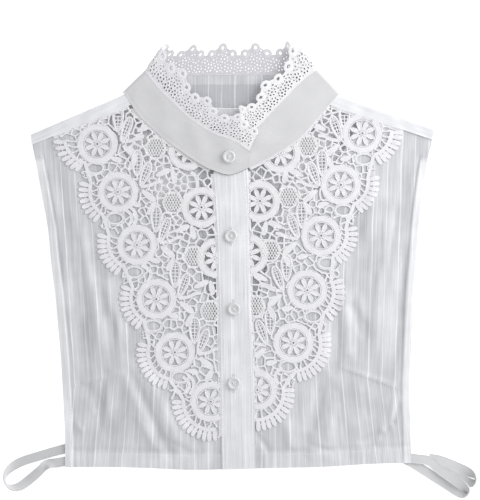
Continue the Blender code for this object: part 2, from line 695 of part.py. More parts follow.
def make_bibs():
    """Both bibs fill the space between the shoulder strip, the neck seam and the placket."""
    gap = SEAM + 0.2
    made = []
    seam = [p for p in front_seam(STAND_LEFT)[::-1] if -86.8 < p[0] < -19.6]
    strip = shifted([(-153.0, along_strip(STRIP_LEFT_LOW, -153.0)),
                     (-89.5, along_strip(STRIP_LEFT_LOW, -89.5))], -gap)
    front = [(x - gap, y) for x, y in through(PLACKET_LEFT, 6.0) if 26.0 < y < 250.0]
    made.append(make_bib("lace_bib_left", -1, WHEELS_LEFT, BERRIES_LEFT, LEAVES_LEFT,
                         strip, shifted(seam, -gap), front))
    seam = [p for p in front_seam(STAND_RIGHT) if 11.6 < p[0] < 79.5]
    strip = shifted([(141.5, along_strip(STRIP_RIGHT_LOW, 141.5)),
                     (81.0, along_strip(STRIP_RIGHT_LOW, 81.0))], gap)
    front = [(x + gap, y) for x, y in through(PLACKET_RIGHT, 6.0) if 32.0 < y < 252.0]
    made.append(make_bib("lace_bib_right", 1, WHEELS_RIGHT, BERRIES_RIGHT, LEAVES_RIGHT,
                         strip, shifted(seam, gap), front))
    return made


def along_strip(low, x):
    """Give the height of a shoulder strip's lower edge at an X."""
    (ax, ay), (bx, by) = low
    return ay + (by - ay) * (x - ax) / (bx - ax)


def make_button(name, x, y, under):
    """A turned button with a raised rim round a shallow dish."""
    r, thick = BUTTON_RADIUS, BUTTON_THICK
    profile = [(0.0, thick * 0.6), (r * 0.5, thick * 0.6), (r * 0.68, thick), (r * 0.9, thick * 0.95),
               (r, thick * 0.6), (r * 0.92, 0.0), (0.0, 0.0)]
    mesh = bpy.data.meshes.new(name)
    edges = [(k, k + 1) for k in range(len(profile) - 1)]
    mesh.from_pydata([(px * MM, 0.0, pz * MM) for px, pz in profile], edges, [])
    piece = bpy.data.objects.new(name, mesh)
    piece.location = (x * MM, y * MM, under * MM)
    turn = piece.modifiers.new("Turn", "SCREW")
    turn.angle = 2 * math.pi
    turn.steps = BUTTON_STEPS
    turn.render_steps = BUTTON_STEPS
    turn.use_merge_vertices = True
    turn.merge_threshold = 1e-6
    return piece


def make_buttons():
    """Each button rests on the highest place of the cloth below it."""
    made = []
    names = ["button_collar", "button_1", "button_2", "button_3"]
    for name, (x, y) in zip(names, BUTTONS):
        top = PLACKET_UNDER + PLACKET_WALL
        if name == "button_collar":
            top = COLLAR_MIDDLE + WALL / 2 + 1.5 + COLLAR_RISE * 0.75
        rim = [(x + BUTTON_RADIUS * math.cos(a), y + BUTTON_RADIUS * math.sin(a))
               for a in (math.pi * count / 4 for count in range(8))]
        made.append(make_button(name, x, y, top + max(lift(px, py) for px, py in rim) + SEAM))
    return made


def make_strap(name, rows):
    """A flat elastic strap along a path, turned on its edge where it doubles back."""
    stations = through(rows, 3.0)

    def place(column, row):
        x, y, z, across, tilt = stations[column]
        across, tilt = math.radians(across), math.radians(tilt)
        width = Vector((math.cos(across) * math.cos(tilt), math.sin(across) * math.cos(tilt),
                        math.sin(tilt)))
        spot = Vector((x, y, z)) + width * ELASTIC_WIDTH * (row - 0.5)
        return spot.x, spot.y, max(spot.z, WALL / 2)

    return thicken(ribbon(name, len(stations), 2, place), WALL, 0)


def stand_on_origin(pieces):
    """Move all pieces together so that the origin is under the middle of their box."""
    bpy.context.view_layer.update()
    shapes = bpy.context.evaluated_depsgraph_get()
    corners = []
    for piece in pieces:
        shape = piece.evaluated_get(shapes)
        corners += [shape.matrix_world @ Vector(corner) for corner in shape.bound_box]
    low = Vector([min(c[k] for c in corners) for k in range(3)])
    high = Vector([max(c[k] for c in corners) for k in range(3)])
    move = Vector((-(low.x + high.x) / 2, -(low.y + high.y) / 2, -low.z))
    for piece in pieces:
        piece.location += move


def main():
    clear_scene()
    group = new_collection("detachable_collar")
    stations = collar_stations()
    left_folds = [ridge for ridge in RIDGES + DARTS if ridge.x0 < 0]
    right_folds = [ridge for ridge in RIDGES + DARTS if ridge.x0 > 0]
    cloth = [
        make_back(),
        make_front("front_left", left_front_outline(), left_folds, -1),
        make_front("front_right", right_front_outline(), right_folds, 1),
        make_strip("shoulder_strip_left", LEFT_TIP, LEFT_NECK, STRIP_LEFT_LOW),
        make_strip("shoulder_strip_right", RIGHT_TIP, RIGHT_NECK, STRIP_RIGHT_LOW),
        make_placket(),
        make_collar_band(stations),
    ]
    lace = make_bibs() + [make_collar_lace(stations)]
    buttons = make_buttons()
    straps = [make_strap("elastic_left", STRAP_LEFT), make_strap("elastic_right", STRAP_RIGHT),
              make_strap("elastic_right_lobe", STRAP_LOBE)]
    finishes = [(cloth, (0.72, 0.72, 0.73), 0.85), (lace, (0.78, 0.78, 0.80), 0.8),
                (buttons, (0.66, 0.66, 0.67), 0.3), (straps, (0.60, 0.60, 0.61), 0.7)]
    for pieces, colour, roughness in finishes:
        for piece in pieces:
            group.objects.link(piece)
            piece.data.materials.append(finish_for(piece.name, colour, roughness))
    stand_on_origin(cloth + lace + buttons + straps)


main()
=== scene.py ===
# %% [markdown]
# # A detachable collar, laid flat
# A sleeveless false blouse front: striped cotton, corded lace, four buttons and two elastic loops.
# The solids say where each piece lies. This file makes what is seen of them: thin cloth with its
# creases, lace built cord by cord, stitches, and the finishes. First the solids are loaded.

# %% Load the solids
import math
import random
from bisect import bisect_right
from collections import namedtuple

import bmesh
import bpy
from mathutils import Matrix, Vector
from mathutils.geometry import delaunay_2d_cdt

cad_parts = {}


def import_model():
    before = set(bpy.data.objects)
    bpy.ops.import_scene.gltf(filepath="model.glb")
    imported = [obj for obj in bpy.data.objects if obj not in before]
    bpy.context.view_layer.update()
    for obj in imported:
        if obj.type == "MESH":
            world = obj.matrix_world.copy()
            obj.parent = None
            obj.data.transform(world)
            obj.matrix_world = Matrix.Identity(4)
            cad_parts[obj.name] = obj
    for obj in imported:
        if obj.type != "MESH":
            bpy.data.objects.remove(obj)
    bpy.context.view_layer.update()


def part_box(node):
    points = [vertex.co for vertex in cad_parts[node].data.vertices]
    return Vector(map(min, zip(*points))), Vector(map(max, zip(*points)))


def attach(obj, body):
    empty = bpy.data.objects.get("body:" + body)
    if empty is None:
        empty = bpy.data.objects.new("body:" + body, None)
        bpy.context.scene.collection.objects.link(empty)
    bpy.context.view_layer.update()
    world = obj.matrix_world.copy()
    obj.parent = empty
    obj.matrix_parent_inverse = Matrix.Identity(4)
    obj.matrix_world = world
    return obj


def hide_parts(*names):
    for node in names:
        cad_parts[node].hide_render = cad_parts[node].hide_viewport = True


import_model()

random.seed(7)

# %% [markdown]
# ## Where things are
# All places were measured on the laid garment in millimetres, with X across, 0 near the placket,
# and Y up from the hem. The solids stand around the origin, so one button tells how far the
# measured places have to move.

# %% From measured millimetres to metres
MM = 0.001
BUTTONS = {"button_collar": (-5, 261.7), "button_1": (-3.4, 195.2), "button_2": (-0.8, 133.8),
           "button_3": (-0.8, 71.5)}
low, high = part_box("button_1")
HOME = [(low[k] + high[k]) / 2 / MM - BUTTONS["button_1"][k] for k in (0, 1)]


def world(x, y, z):
    """Give a measured place in metres, where the solids are."""
    return Vector(((x + HOME[0]) * MM, (y + HOME[1]) * MM, z * MM))


print("measured places move by", [round(value, 2) for value in HOME])

# %% The garment's own measures
Side = namedtuple("Side", "height left right")
SIDES = [Side(*row) for row in (
    (27, 143, 148), (67, 145, 146.8), (94, 146.5, 148), (121, 149, 149), (148, 151.5, 150),
    (175, 155, 152.5), (202, 157.5, 154.5), (229, 162.5, 157.5), (256, 167.5, 161.5),
    (272, 170.8, 165.3))]
HEM = [
    (-143, 0.8), (-110, 0.8), (-77, 0), (-50, -1.4), (-29, -1.7), (-14, -1.3),
    (0, -0.8), (20, -0.4), (38, 0), (75, 0.8), (101, 2.5), (130, 4), (148, 4.2),
]
LEFT_TIP, LEFT_NECK = (-172, 281), (-93, 315)
RIGHT_TIP, RIGHT_NECK = (168, 285.5), (87, 314)
BACK_NECK = [
    (-91, 312.6), (-60, 308.2), (-30, 304.2), (0, 302.7), (30, 303.7), (60, 307.2),
    (85, 311.9),
]
STRIP_LEFT_LOW = [(-171, 272), (-88.2, 305.2)]
STRIP_RIGHT_LOW = [(166, 276.3), (80, 305.2)]
WINDOW_LEFT = [
    (-108, 304), (-109, 294.6), (-92.6, 263.4), (-75.7, 238.2), (-58.9, 212.9),
    (-42.1, 191.9), (-29.5, 166.6), (-19.4, 133), (-15.5, 112),
]
WINDOW_RIGHT = [
    (105, 304), (106, 294.6), (89.2, 263.4), (72.4, 238.2), (55.5, 212.9),
    (38.7, 191.9), (26.1, 166.6), (17.7, 133), (14.2, 117),
]
PLACKET_LEFT = [(-18.5, 251), (-14.7, 190), (-12.6, 98), (-10.9, -1.3)]
PLACKET_RIGHT = [(10.8, 253), (11.5, 190), (13.5, 125), (15.6, 71), (17.4, -0.5)]

# %% Heights of the layers
WALL, LACE_WALL, PLACKET_WALL, SEAM = 1, 1.2, 1.2, 0.3
FRONT_UNDER = WALL + SEAM
PLACKET_UNDER = FRONT_UNDER + WALL + 0.4
LACE_UNDER = FRONT_UNDER + WALL + 0.5
COLLAR_MIDDLE = LACE_UNDER + LACE_WALL / 2
Ridge = namedtuple("Ridge", "x0 y0 x1 y1 width height")
RIDGES = [Ridge(*row) for row in (
    (-158, 252, -136, 45, 8, 1.5), (-131, 222, -116, 90, 9, 1.7), (-119, 130, -54, 10, 11, 2.9),
    (157, 258, 141, 62, 8, 1.4), (129, 215, 118, 50, 9, 1.6), (97, 103, 104, 60, 8, 1.2),
    (84, 42, 60, 8, 9, 1.1))]
DARTS = [Ridge(*row) for row in (
    (-130.4, 70.7, -92, 81, 1.8, 0.8), (138.5, 67.5, 87, 86, 1.8, 0.8))]


def to_segment(x, y, ax, ay, bx, by):
    """Give the distance to a segment, and how far along it the nearest place is."""
    length = (bx - ax) ** 2 + (by - ay) ** 2
    t = max(0, min(1, ((x - ax) * (bx - ax) + (y - ay) * (by - ay)) / length))
    return math.hypot(x - ax - t * (bx - ax), y - ay - t * (by - ay)), t


def ridge_height(ridge, x, y):
    """Give the height of one long fold at a place: highest at its middle, soft at both ends."""
    reach = abs(ridge.width) * 2.6
    for value, start, stop in ((x, ridge.x0, ridge.x1), (y, ridge.y0, ridge.y1)):
        if not min(start, stop) - reach < value < max(start, stop) + reach:
            return 0
    away, t = to_segment(x, y, ridge.x0, ridge.y0, ridge.x1, ridge.y1)
    return ridge.height * (1 - (2 * t - 1) ** 4) * math.exp(-(away / ridge.width) ** 2)


def lift(x, y):
    """Give how far the fronts stand off their lowest layer, as in the solids."""
    height = 0.7 + 0.35 * math.sin(x / 24 + 0.6) * math.cos(y / 60)
    height += 0.9 * math.exp(-((x / 75) ** 2 + ((y - 285) / 55) ** 2))
    for corner in (-143, 148):
        height += math.exp(-(((x - corner) / 26) ** 2 + ((y - 8) / 30) ** 2))
    return height + sum(ridge_height(ridge, x, y) for ridge in RIDGES + DARTS)


print("the fronts rise to", round(max(lift(x, y) for x in range(-150, 150, 5)
                                      for y in range(0, 300, 5)), 2), "mm over their lowest place")

# %% [markdown]
# ## Lines
# A garment is drawn with a few measured points, and a smooth line through them. These helpers
# sample such a line, move it sideways, and say whether a place is inside a closed outline.

# %% Lines and outlines


def through(rows, step):
    """Sample a smooth curve through rows of numbers, about one sample for each step along it."""
    ends = [rows[0]] + list(rows) + [rows[-1]]
    found = []
    for before, start, stop, after in zip(ends, ends[1:], ends[2:], ends[3:]):
        pieces = max(1, round(math.dist(start[:2], stop[:2]) / step))
        for count in range(pieces):
            t = count / pieces
            found.append(tuple(
                0.5 * (2 * b + (c - a) * t + (2 * a - 5 * b + 4 * c - d) * t * t
                       + (3 * b - a - 3 * c + d) * t ** 3)
                for a, b, c, d in zip(before, start, stop, after)))
    found.append(tuple(rows[-1]))
    return found


def shifted(line, distance):
    """Move an open line sideways, to the left of its direction."""
    moved = []
    for index, (x, y) in enumerate(line):
        ax, ay = line[max(index - 1, 0)]
        bx, by = line[min(index + 1, len(line) - 1)]
        size = math.hypot(bx - ax, by - ay)
        moved.append((x - (by - ay) / size * distance, y + (bx - ax) / size * distance))
    return moved


def along(line, y):
    """Give the X of a line, listed from the neck down, at a height."""
    for (ax, ay), (bx, by) in zip(line, line[1:]):
        if ay >= y >= by:
            return ax + (bx - ax) * (ay - y) / (ay - by)
    return line[0][0] if y > line[0][1] else line[-1][0]


def to_edge(x, y, loop):
    """Give the distance from a place to a closed outline."""
    return min(to_segment(x, y, *a, *b)[0] for a, b in zip(loop, loop[1:] + loop[:1]))


def inside(x, y, loop):
    """Say whether a place lies within a closed outline."""
    return sum((ay > y) != (by > y) and x < ax + (bx - ax) * (y - ay) / (by - ay)
               for (ax, ay), (bx, by) in zip(loop, loop[1:] + loop[:1])) % 2 == 1


def area_of(loop):
    """Give the area inside a closed outline, in square metres."""
    return abs(sum(ax * by - bx * ay
                   for (ax, ay), (bx, by) in zip(loop, loop[1:] + loop[:1]))) / 2 * MM * MM


def smooth_step(value, start, stop):
    """Go softly from 0 to 1 as a value goes from start to stop."""
    t = max(0, min(1, (value - start) / (stop - start)))
    return t * t * (3 - 2 * t)


def dip(away, width):
    """Give a soft hump: 1 in its middle, and near 0 at twice its width away."""
    return math.exp(-(away / width) ** 2)


def steps(first, last, step):
    """Count from one number up to another."""
    while first < last:
        yield first
        first += step


def circle(x, y, wide, tall, count, swell=lambda turn: 1):
    """Give the points of a circle or an oval round a place."""
    turns = [2 * math.pi * k / count for k in range(count)]
    return [(x + wide * swell(a) * math.cos(a), y + tall * swell(a) * math.sin(a)) for a in turns]


def polar(x, y, reach, degrees):
    turn = math.radians(degrees)
    return x + reach * math.cos(turn), y + reach * math.sin(turn)


class Line:
    """An open line that can be asked for the place at any share of its length."""

    def __init__(self, points):
        self.points = [tuple(point) for point in points]
        self.runs = [0]
        for a, b in zip(self.points, self.points[1:]):
            self.runs.append(self.runs[-1] + math.dist(a, b))

    def at(self, share):
        run = share * self.runs[-1]
        k = min(max(bisect_right(self.runs, run) - 1, 0), len(self.points) - 2)
        t = (run - self.runs[k]) / max(self.runs[k + 1] - self.runs[k], 1e-9)
        return Vector(self.points[k]).lerp(Vector(self.points[k + 1]), t)


def shoulder_line(tip, neck, distance):
    """Give both ends of a shoulder edge, moved in towards the hem."""
    toward = Vector((neck[0] - tip[0], neck[1] - tip[1])).normalized()
    down = Vector((toward.y, -toward.x)) if toward.x > 0 else Vector((-toward.y, toward.x))
    return [tuple(Vector(end) + down * distance) for end in (tip, neck)]


left_side = through([(-143, 0.8)] + [(-row.left, row.height) for row in SIDES], 6)
right_side = through([(148, 4.2)] + [(row.right, row.height) for row in SIDES], 6)
hem = through(HEM, 5)
print("hem points", len(hem), "side points", len(left_side), len(right_side))

# %% [markdown]
# ## Shader sums
# A finish is a sum of small effects: thread, stripe, shade. The class below lets a socket of a
# node be added and multiplied in plain Python, and each operation adds its Math node.

# %% Finishes as plain arithmetic


class Amount:
    """One socket of a finish, for use in plain arithmetic."""

    def __init__(self, finish, socket):
        self.finish, self.socket = finish, socket

    def sum_of(self, operation, first, second):
        return self.finish.node("Math", {"operation": operation}, {0: first, 1: second})

    def __add__(self, other): return self.sum_of("ADD", self, other)
    def __radd__(self, other): return self.sum_of("ADD", other, self)
    def __sub__(self, other): return self.sum_of("SUBTRACT", self, other)
    def __rsub__(self, other): return self.sum_of("SUBTRACT", other, self)
    def __mul__(self, other): return self.sum_of("MULTIPLY", self, other)
    def __rmul__(self, other): return self.sum_of("MULTIPLY", other, self)
    def __truediv__(self, other): return self.sum_of("DIVIDE", self, other)


class Finish:
    """A material under construction, with a plain shader to feed."""

    def __init__(self, name, **settings):
        self.material = bpy.data.materials.new(name)
        self.material.use_nodes = True
        self.tree = self.material.node_tree
        self.shader = self.tree.nodes["Principled BSDF"]
        for socket, value in settings.items():
            self.shader.inputs[socket.replace("_", " ")].default_value = value

    def node(self, kind, settings, sockets, out=0):
        """Add a node with its settings first, then the values or links of its sockets."""
        made = self.tree.nodes.new("ShaderNode" + kind)
        for name, value in settings.items():
            setattr(made, name, value)
        for name, value in sockets.items():
            if isinstance(value, Amount):
                self.tree.links.new(value.socket, made.inputs[name])
            else:
                made.inputs[name].default_value = value
        return Amount(self, made.outputs[out])

    def feed(self, socket, value):
        self.tree.links.new(value.socket, self.shader.inputs[socket])

    def colour(self, share, dark, light):
        """Feed the shader's colour, from dark to light as the share goes from 0 to 1."""
        self.feed("Base Color", self.node("Mix", {"data_type": "RGBA"}, {
            0: share, 6: (*dark, 1), 7: (*light, 1)}, 2))

    def bump(self, height, distance, strength):
        self.feed("Normal", self.node("Bump", {}, {
            "Strength": strength, "Distance": distance, "Height": height}))

    def grain(self):
        """Give the piece's own grain in centimetres: across, and onward."""
        return self.node("UVMap", {"uv_map": "grain"}, {})

    def layers(self):
        # The attribute says where cloth lies double and looks whiter, and also carries painted
        # shade and light.
        return self.node("Attribute", {"attribute_name": "layers"}, {}, 2)

    def parts_of(self, vector):
        """Split a vector link into its first two numbers."""
        outputs = self.node("SeparateXYZ", {}, {0: vector}).socket.node.outputs
        return Amount(self, outputs[0]), Amount(self, outputs[1])

    def noise(self, where, scale, detail=2, rough=0.5):
        return self.node("TexNoise", {}, {
            "Vector": where, "Scale": scale, "Detail": detail, "Roughness": rough})

    def wave(self, where, way, scale, shaken):
        return self.node("TexWave", {"bands_direction": way}, {
            "Vector": where, "Scale": scale, "Distortion": shaken, "Detail": 1})

    def mirrored(self, value, half):
        """Run a value from 0 up to half and down again, over and over."""
        return self.node("Math", {"operation": "PINGPONG"}, {0: value, 1: half})

    def step(self, value, soft, sharp):
        """Go softly from 0 at soft to 1 at sharp."""
        return self.node("MapRange", {"interpolation_type": "SMOOTHSTEP"}, {
            "Value": value, "From Min": soft, "From Max": sharp, "To Min": 0, "To Max": 1})

    def clamped(self, value):
        return self.node("Clamp", {}, {0: value})


print("shader sums ready")

# %% [markdown]
# ## Striped cotton
# The body is a thin white lawn with a woven stripe: a bright corded line every 22 mm, a weaker one
# half way, and hairlines between. The yarn is uneven, so the lines fade and thicken along their
# length; broader soft streaks and patches are partly that uneven yarn and partly painted shade of
# soft folds. The cloth's own grain is kept in a UV map in centimetres: U runs across the stripes
# and V along them, so the stripes follow each panel's cut. Where the cloth lies double, as in a
# hem, it looks whiter, which a point attribute tells the material; that attribute also carries
# painted shade and light, inside the neck, behind the lace and on the lace edging.

# %% Striped cotton
STRIPE = 2.24
STRIPE_LINES = [(0.19, 0.022, 0.004, 0.20), (0.33, 0.018, 0.004, 0.14),
                (0.70, 0.020, 0.004, 0.18), (0.86, 0.018, 0.004, 0.14)]


def striped_cotton():
    finish = Finish("striped_cotton", Roughness=0.82, Sheen_Weight=0.25, Sheen_Roughness=0.5)
    grain, layers = finish.grain(), finish.layers()
    across, onward = finish.parts_of(grain)

    def streaks(wide, long, detail=2):
        """Noise that is drawn out along the stripes."""
        where = finish.node("CombineXYZ", {}, {0: across * wide, 1: onward * long})
        return finish.noise(where, 1, detail, 0.6) - 0.5

    place = (across + (finish.noise(grain, 0.3) - 0.5) * 0.16) / STRIPE

    def line(offset, soft, sharp, strength):
        """A line of the given softness at each repeat."""
        return finish.step(finish.mirrored(place + offset, 0.5), soft, sharp) * strength

    patchy = streaks(0.8, 0.16) * 2.2 + 0.95
    lines = (line(0, 0.040, 0.008, 0.62) + line(0.5, 0.034, 0.006, 0.40)) * patchy
    for row in STRIPE_LINES:
        lines = lines + line(*row)
    fine = streaks(7, 0.22, 3)
    # The broad streaks and these patches are partly uneven yarn and partly painted shade of soft
    # folds.
    patches = finish.noise(grain, 0.42) - 0.5
    shade = (lines * (1 - layers * 0.65) + streaks(1.1, 0.12) * 1.15 + patches * 0.8
             + fine * 1.05 + 0.36) * 0.79 + layers * 0.52
    finish.colour(finish.clamped(shade), (0.53, 0.537, 0.56), (0.93, 0.932, 0.945))
    warp, weft = (finish.wave(grain, way, 5, 0.6) for way in "XY")
    finish.bump(warp * 0.10 + weft * 0.07 + lines * 1.2 + fine * 0.8, 0.00022, 0.6)
    return finish.material


cotton = striped_cotton()
print("finish", cotton.name, "has", len(cotton.node_tree.nodes), "nodes")

# %% Plain cotton, thread, elastic


def woven(name, dark, light, weave, depth, **settings):
    """A plain woven finish that follows the piece's own grain."""
    finish = Finish(name, **settings)
    grain = finish.grain()
    warp, weft = (finish.wave(grain, way, weave, 0.5) for way in "XY")
    cloudy = finish.noise(grain, 0.8, 3)
    finish.colour(cloudy * 0.7 + warp * 0.18 + weft * 0.12, dark, light)
    finish.bump(warp * 0.6 + weft * 0.4 + cloudy * 0.5, depth, 0.6)
    return finish.material


def braided():
    """Flat braided elastic: fine ribs along it, and a raised corded edge at both sides, painted
    paler as a highlight.
    """
    finish = Finish("elastic", Roughness=0.6, Sheen_Weight=0.15)
    grain = finish.grain()
    ribs = finish.wave(grain, "X", 3.4, 0.2)
    edge = finish.step(finish.mirrored(finish.parts_of(grain)[0], 0.4), 0.075, 0.03)
    # The paler edge is a painted highlight on the raised corded edge.
    share = ribs * 0.12 + edge * 0.3 + finish.noise(grain, 6) * 0.07 + 0.3
    finish.colour(share, (0.60, 0.60, 0.61), (0.83, 0.83, 0.835))
    finish.bump(ribs * 0.6 + edge, 0.0003, 0.6)
    return finish.material


def thread_finish(name, dark, light, grain_size, depth, **settings):
    """Cotton thread: fine fibres painted darker in their hollows as shade, and greyer where it lies
    single, a painted shade that an attribute gives.
    """
    finish = Finish(name, **settings)
    where = finish.node("TexCoord", {}, {}, 3)
    fibres = finish.noise(where, grain_size, 3, 0.65)
    patches = finish.noise(where, grain_size / 9)
    share = finish.clamped(fibres * 0.5 + patches * 0.5 + 0.2 + finish.layers())
    finish.colour(share, dark, light)
    finish.bump(fibres, depth, 0.7)
    return finish.material


plain = woven("plain_cotton", (0.65, 0.65, 0.66), (0.79, 0.785, 0.795), 6, 0.00010,
              Roughness=0.8, Sheen_Weight=0.2)
elastic = braided()
lace_thread = thread_finish("lace", (0.67, 0.665, 0.695), (0.968, 0.96, 0.978), 1500, 0.0003,
                            Roughness=0.78, Sheen_Weight=0.2)
sewing_thread = thread_finish("sewing_thread", (0.66, 0.66, 0.68), (0.86, 0.86, 0.87), 2500,
                              0.0001, Roughness=0.6)
print("finishes", [m.name for m in (plain, elastic, lace_thread, sewing_thread)])

# %% [markdown]
# ## Sheets of cloth
# A panel of cloth is a grid drawn between its four edge lines, so its threads run as in the cut
# piece. The grid gets its height from the layer it lies on, its grain as a UV map, and a thin
# wall downwards. Each fold of the real cloth is uneven, so the small creases are listed one by one.

# %% A panel between four edge lines


def add_piece(name, data):
    """Put a mesh, a curve, a lamp or a lens into the scene."""
    piece = bpy.data.objects.new(name, data)
    bpy.context.collection.objects.link(piece)
    return piece


def mesh_piece(name, points, edges, faces):
    mesh = bpy.data.meshes.new(name)
    mesh.from_pydata(points, edges, faces)
    return add_piece(name, mesh)


def pick(*pieces):
    """Select these pieces and no others; the first is the active one."""
    bpy.ops.object.select_all(action="DESELECT")
    for piece in pieces:
        piece.select_set(True)
    bpy.context.view_layer.objects.active = pieces[0]


def triangles(piece):
    return sum(len(face.vertices) - 2 for face in piece.data.polygons)


def grid_piece(name, columns, rows):
    """Add a grid primitive with so many cells each way."""
    bpy.ops.mesh.primitive_grid_add(x_subdivisions=columns, y_subdivisions=rows, size=2)
    piece = bpy.context.object
    piece.name = piece.data.name = name
    return piece


def wall_on(piece, wall, side):
    """Give an open sheet its wall, and apply it: side is -1 below, 1 above, 0 both ways."""
    solid = piece.modifiers.new("Wall", "SOLIDIFY")
    solid.thickness, solid.offset, solid.use_rim = wall * MM, side, True
    pick(piece)
    bpy.ops.object.modifier_apply(modifier=solid.name)


def shape_grid(piece, place):
    """Move each point of a grid to place(u, t), which gives metres, grain and layers."""
    mesh = piece.data
    grain, layers = [], []
    for vertex in mesh.vertices:
        spot, uv, double = place((vertex.co.x + 1) / 2, (vertex.co.y + 1) / 2)
        vertex.co = spot
        grain.append(uv)
        layers.append(double)
    while mesh.uv_layers:
        mesh.uv_layers.remove(mesh.uv_layers[0])
    chart = mesh.uv_layers.new(name="grain")
    for loop in mesh.loops:
        chart.data[loop.index].uv = grain[loop.vertex_index]
    mesh.attributes.new("layers", "FLOAT", "POINT").data.foreach_set("value", layers)


def smooth(piece, angle=50):
    pick(piece)
    bpy.ops.object.shade_smooth_by_angle(angle=math.radians(angle))


def panel(name, left, right, bottom, top, cells, surface, wall, finish, dense=""):
    """Draw a grid between four lines that meet at the corners; dense is the side of fine cells."""
    lines = [Line(line) for line in (left, right, bottom, top)]
    corners = [lines[2].at(0), lines[2].at(1), lines[3].at(0), lines[3].at(1)]

    def place(u, t):
        u = {"left": u ** 1.25, "right": 1 - (1 - u) ** 1.25}.get(dense, u)
        spot = lines[0].at(t) * (1 - u) + lines[1].at(t) * u
        spot += lines[2].at(u) * (1 - t) + lines[3].at(u) * t
        spot -= (corners[0] * (1 - u) + corners[1] * u) * (1 - t)
        spot -= (corners[2] * (1 - u) + corners[3] * u) * t
        height, uv, double = surface(spot.x, spot.y)
        return world(spot.x, spot.y, height), uv, double

    piece = grid_piece(name, *cells)
    shape_grid(piece, place)
    wall_on(piece, wall, -1)
    piece.data.materials.append(finish)
    smooth(piece)
    return piece


print("panels are grids between four lines")

# %% [markdown]
# ## The back
# One flat panel under everything. It shows through the lace and inside the neck, and its other
# side is what one sees when the collar is lifted.

# %% Back panel
BACK_CREASES = [Ridge(*row) for row in (
    (-120, 250, -108, 90, 7, 0.28), (-70, 130, -52, 20, 6, 0.24), (40, 292, 52, 150, 8, 0.26),
    (118, 230, 104, 60, 7, 0.3), (-20, 120, 10, 24, 9, 0.22), (70, 90, 120, 40, 6, 0.26),
    (-40, 298, -34, 268, 4, 0.22), (8, 300, 4, 262, 4, 0.2))]
HEM_TURN, SIDE_TURN = 12, 6.5


def past_turn(x, y):
    """Give how far a place lies beyond the stitched line of the armhole's turned edge."""
    rows = [(row.left if x < 0 else row.right, row.height) for row in SIDES[::-1]]
    return abs(x) - (along(rows, y) - SIDE_TURN)


def window_share(x, y):
    """Say how much a place of the back lies in the window behind the lace."""
    return smooth_step(abs(x), 20, 54) * smooth_step(302 - y, 0, 34)


def back_height(x, y):
    height = 0.62 + sum(ridge_height(ridge, x, y) for ridge in BACK_CREASES)
    height += 0.05 * math.sin(x / 7) * math.cos(y / 31)
    rise = math.exp(-((x / 74) ** 2 + ((y - 215) / 80) ** 2) ** 2)
    return height + 1.6 * window_share(x, y) * rise


def back_surface(x, y):
    double = y < HEM_TURN or y > 292 and abs(x) < 92 or past_turn(x, y) > 0
    # Painted light behind the lace, where the back shows through its holes, and painted shade
    # beside the placket; the hem, neck and armhole turnings lie double.
    layers = max(0.6 * double, 1.5 * window_share(x, y) - 0.2)
    return back_height(x, y), (x / 10, y / 10), layers


left_top = shoulder_line(LEFT_TIP, LEFT_NECK, 1.3)
right_top = shoulder_line(RIGHT_TIP, RIGHT_NECK, 1.3)
back_top = left_top + through(BACK_NECK, 8) + right_top[::-1]
back = panel("back", left_side + [left_top[0]], right_side + [right_top[0]], hem, back_top,
             (110, 110), back_surface, 0.5, cotton)
print("back", len(back.data.polygons), "faces")

# %% [markdown]
# ## The fronts
# Each front is sewn to the placket and cut away behind the lace. The soft folds are those of the
# solids. Over them lie the finer creases that a washed cotton front has: long ones along the
# stripes, short pulls at the dart, and puckers in the hem.

# %% Creases of the fronts
CREASES = [Ridge(*row) for row in (
    (-133, 196, -124, 118, 3.4, -0.6), (-146.5, 205, -133, 96, 3.6, 0.55),
    (-121, 172, -113, 100, 3, 0.6), (-106, 132, -103, 83, 5.5, -1.4),
    (-109, 78, -106.5, 40, 2.6, 0.5), (-116, 70, -113, 30, 2.4, -0.45),
    (-90, 84, -53, 6, 4.2, -1.9), (-79, 88, -43, 14, 5, 1), (-134, 38, -128, 30, 2.2, 0.6),
    (-127, 71, -112, 46, 5, -1.3), (-84, 46, -66, 14, 3.2, 0.6), (-46, 44, -38, 14, 4, 0.5),
    (-33, 30, -28, 12, 2.6, -0.4), (-140, 60, -136, 24, 2.6, -0.45),
    (-122, 66, -119, 44, 2.2, 0.4), (-68, 108, -60, 74, 4, 0.4), (-128, 236, -117, 150, 5, -0.9),
    (-112, 160, -94, 104, 5, 0.8), (137, 225, 127, 150, 3.2, -0.5),
    (144, 190, 136, 90, 3.2, -0.7), (121, 168, 117, 92, 3, 0.5), (86, 140, 83, 76, 4.6, -1.3),
    (93, 150, 95, 92, 5, 0.9), (76, 82, 64, 30, 4.6, -1.1), (126, 34, 118, 20, 2.6, 0.6),
    (134, 62, 131, 30, 2.4, 0.5), (108, 74, 112, 40, 2.6, -0.45), (84, 66, 78, 22, 3.8, 0.6),
    (40, 44, 48, 14, 4, 0.5), (104, 150, 106, 120, 3, 0.4), (19, 28, 29, 13, 2.3, -0.7),
    (118, 250, 110, 190, 5, 0.6), (96, 141, 112, 108, 5, -1.1), (103, 20.5, 126, 29, 2.8, -0.8),
    (121, 26, 134.5, 40, 2.6, -0.8), (132.5, 36, 139, 55, 2.4, -0.7),
    (-152, 262, -141, 196, 3.2, -0.5), (-138, 250, -130, 214, 4, 0.5),
    (-60, 24, -36, 12.5, 2.4, -0.5), (60, 20, 84, 13.5, 2.2, -0.5))]
PUCKERS = [(-136, 7), (-121, 9), (-98, 6), (-84, 10), (-61, 8), (-40, 7), (-24, 9),
           (26, 8), (43, 6), (61, 9), (87, 7), (99, 10), (118, 7), (137, 8)]


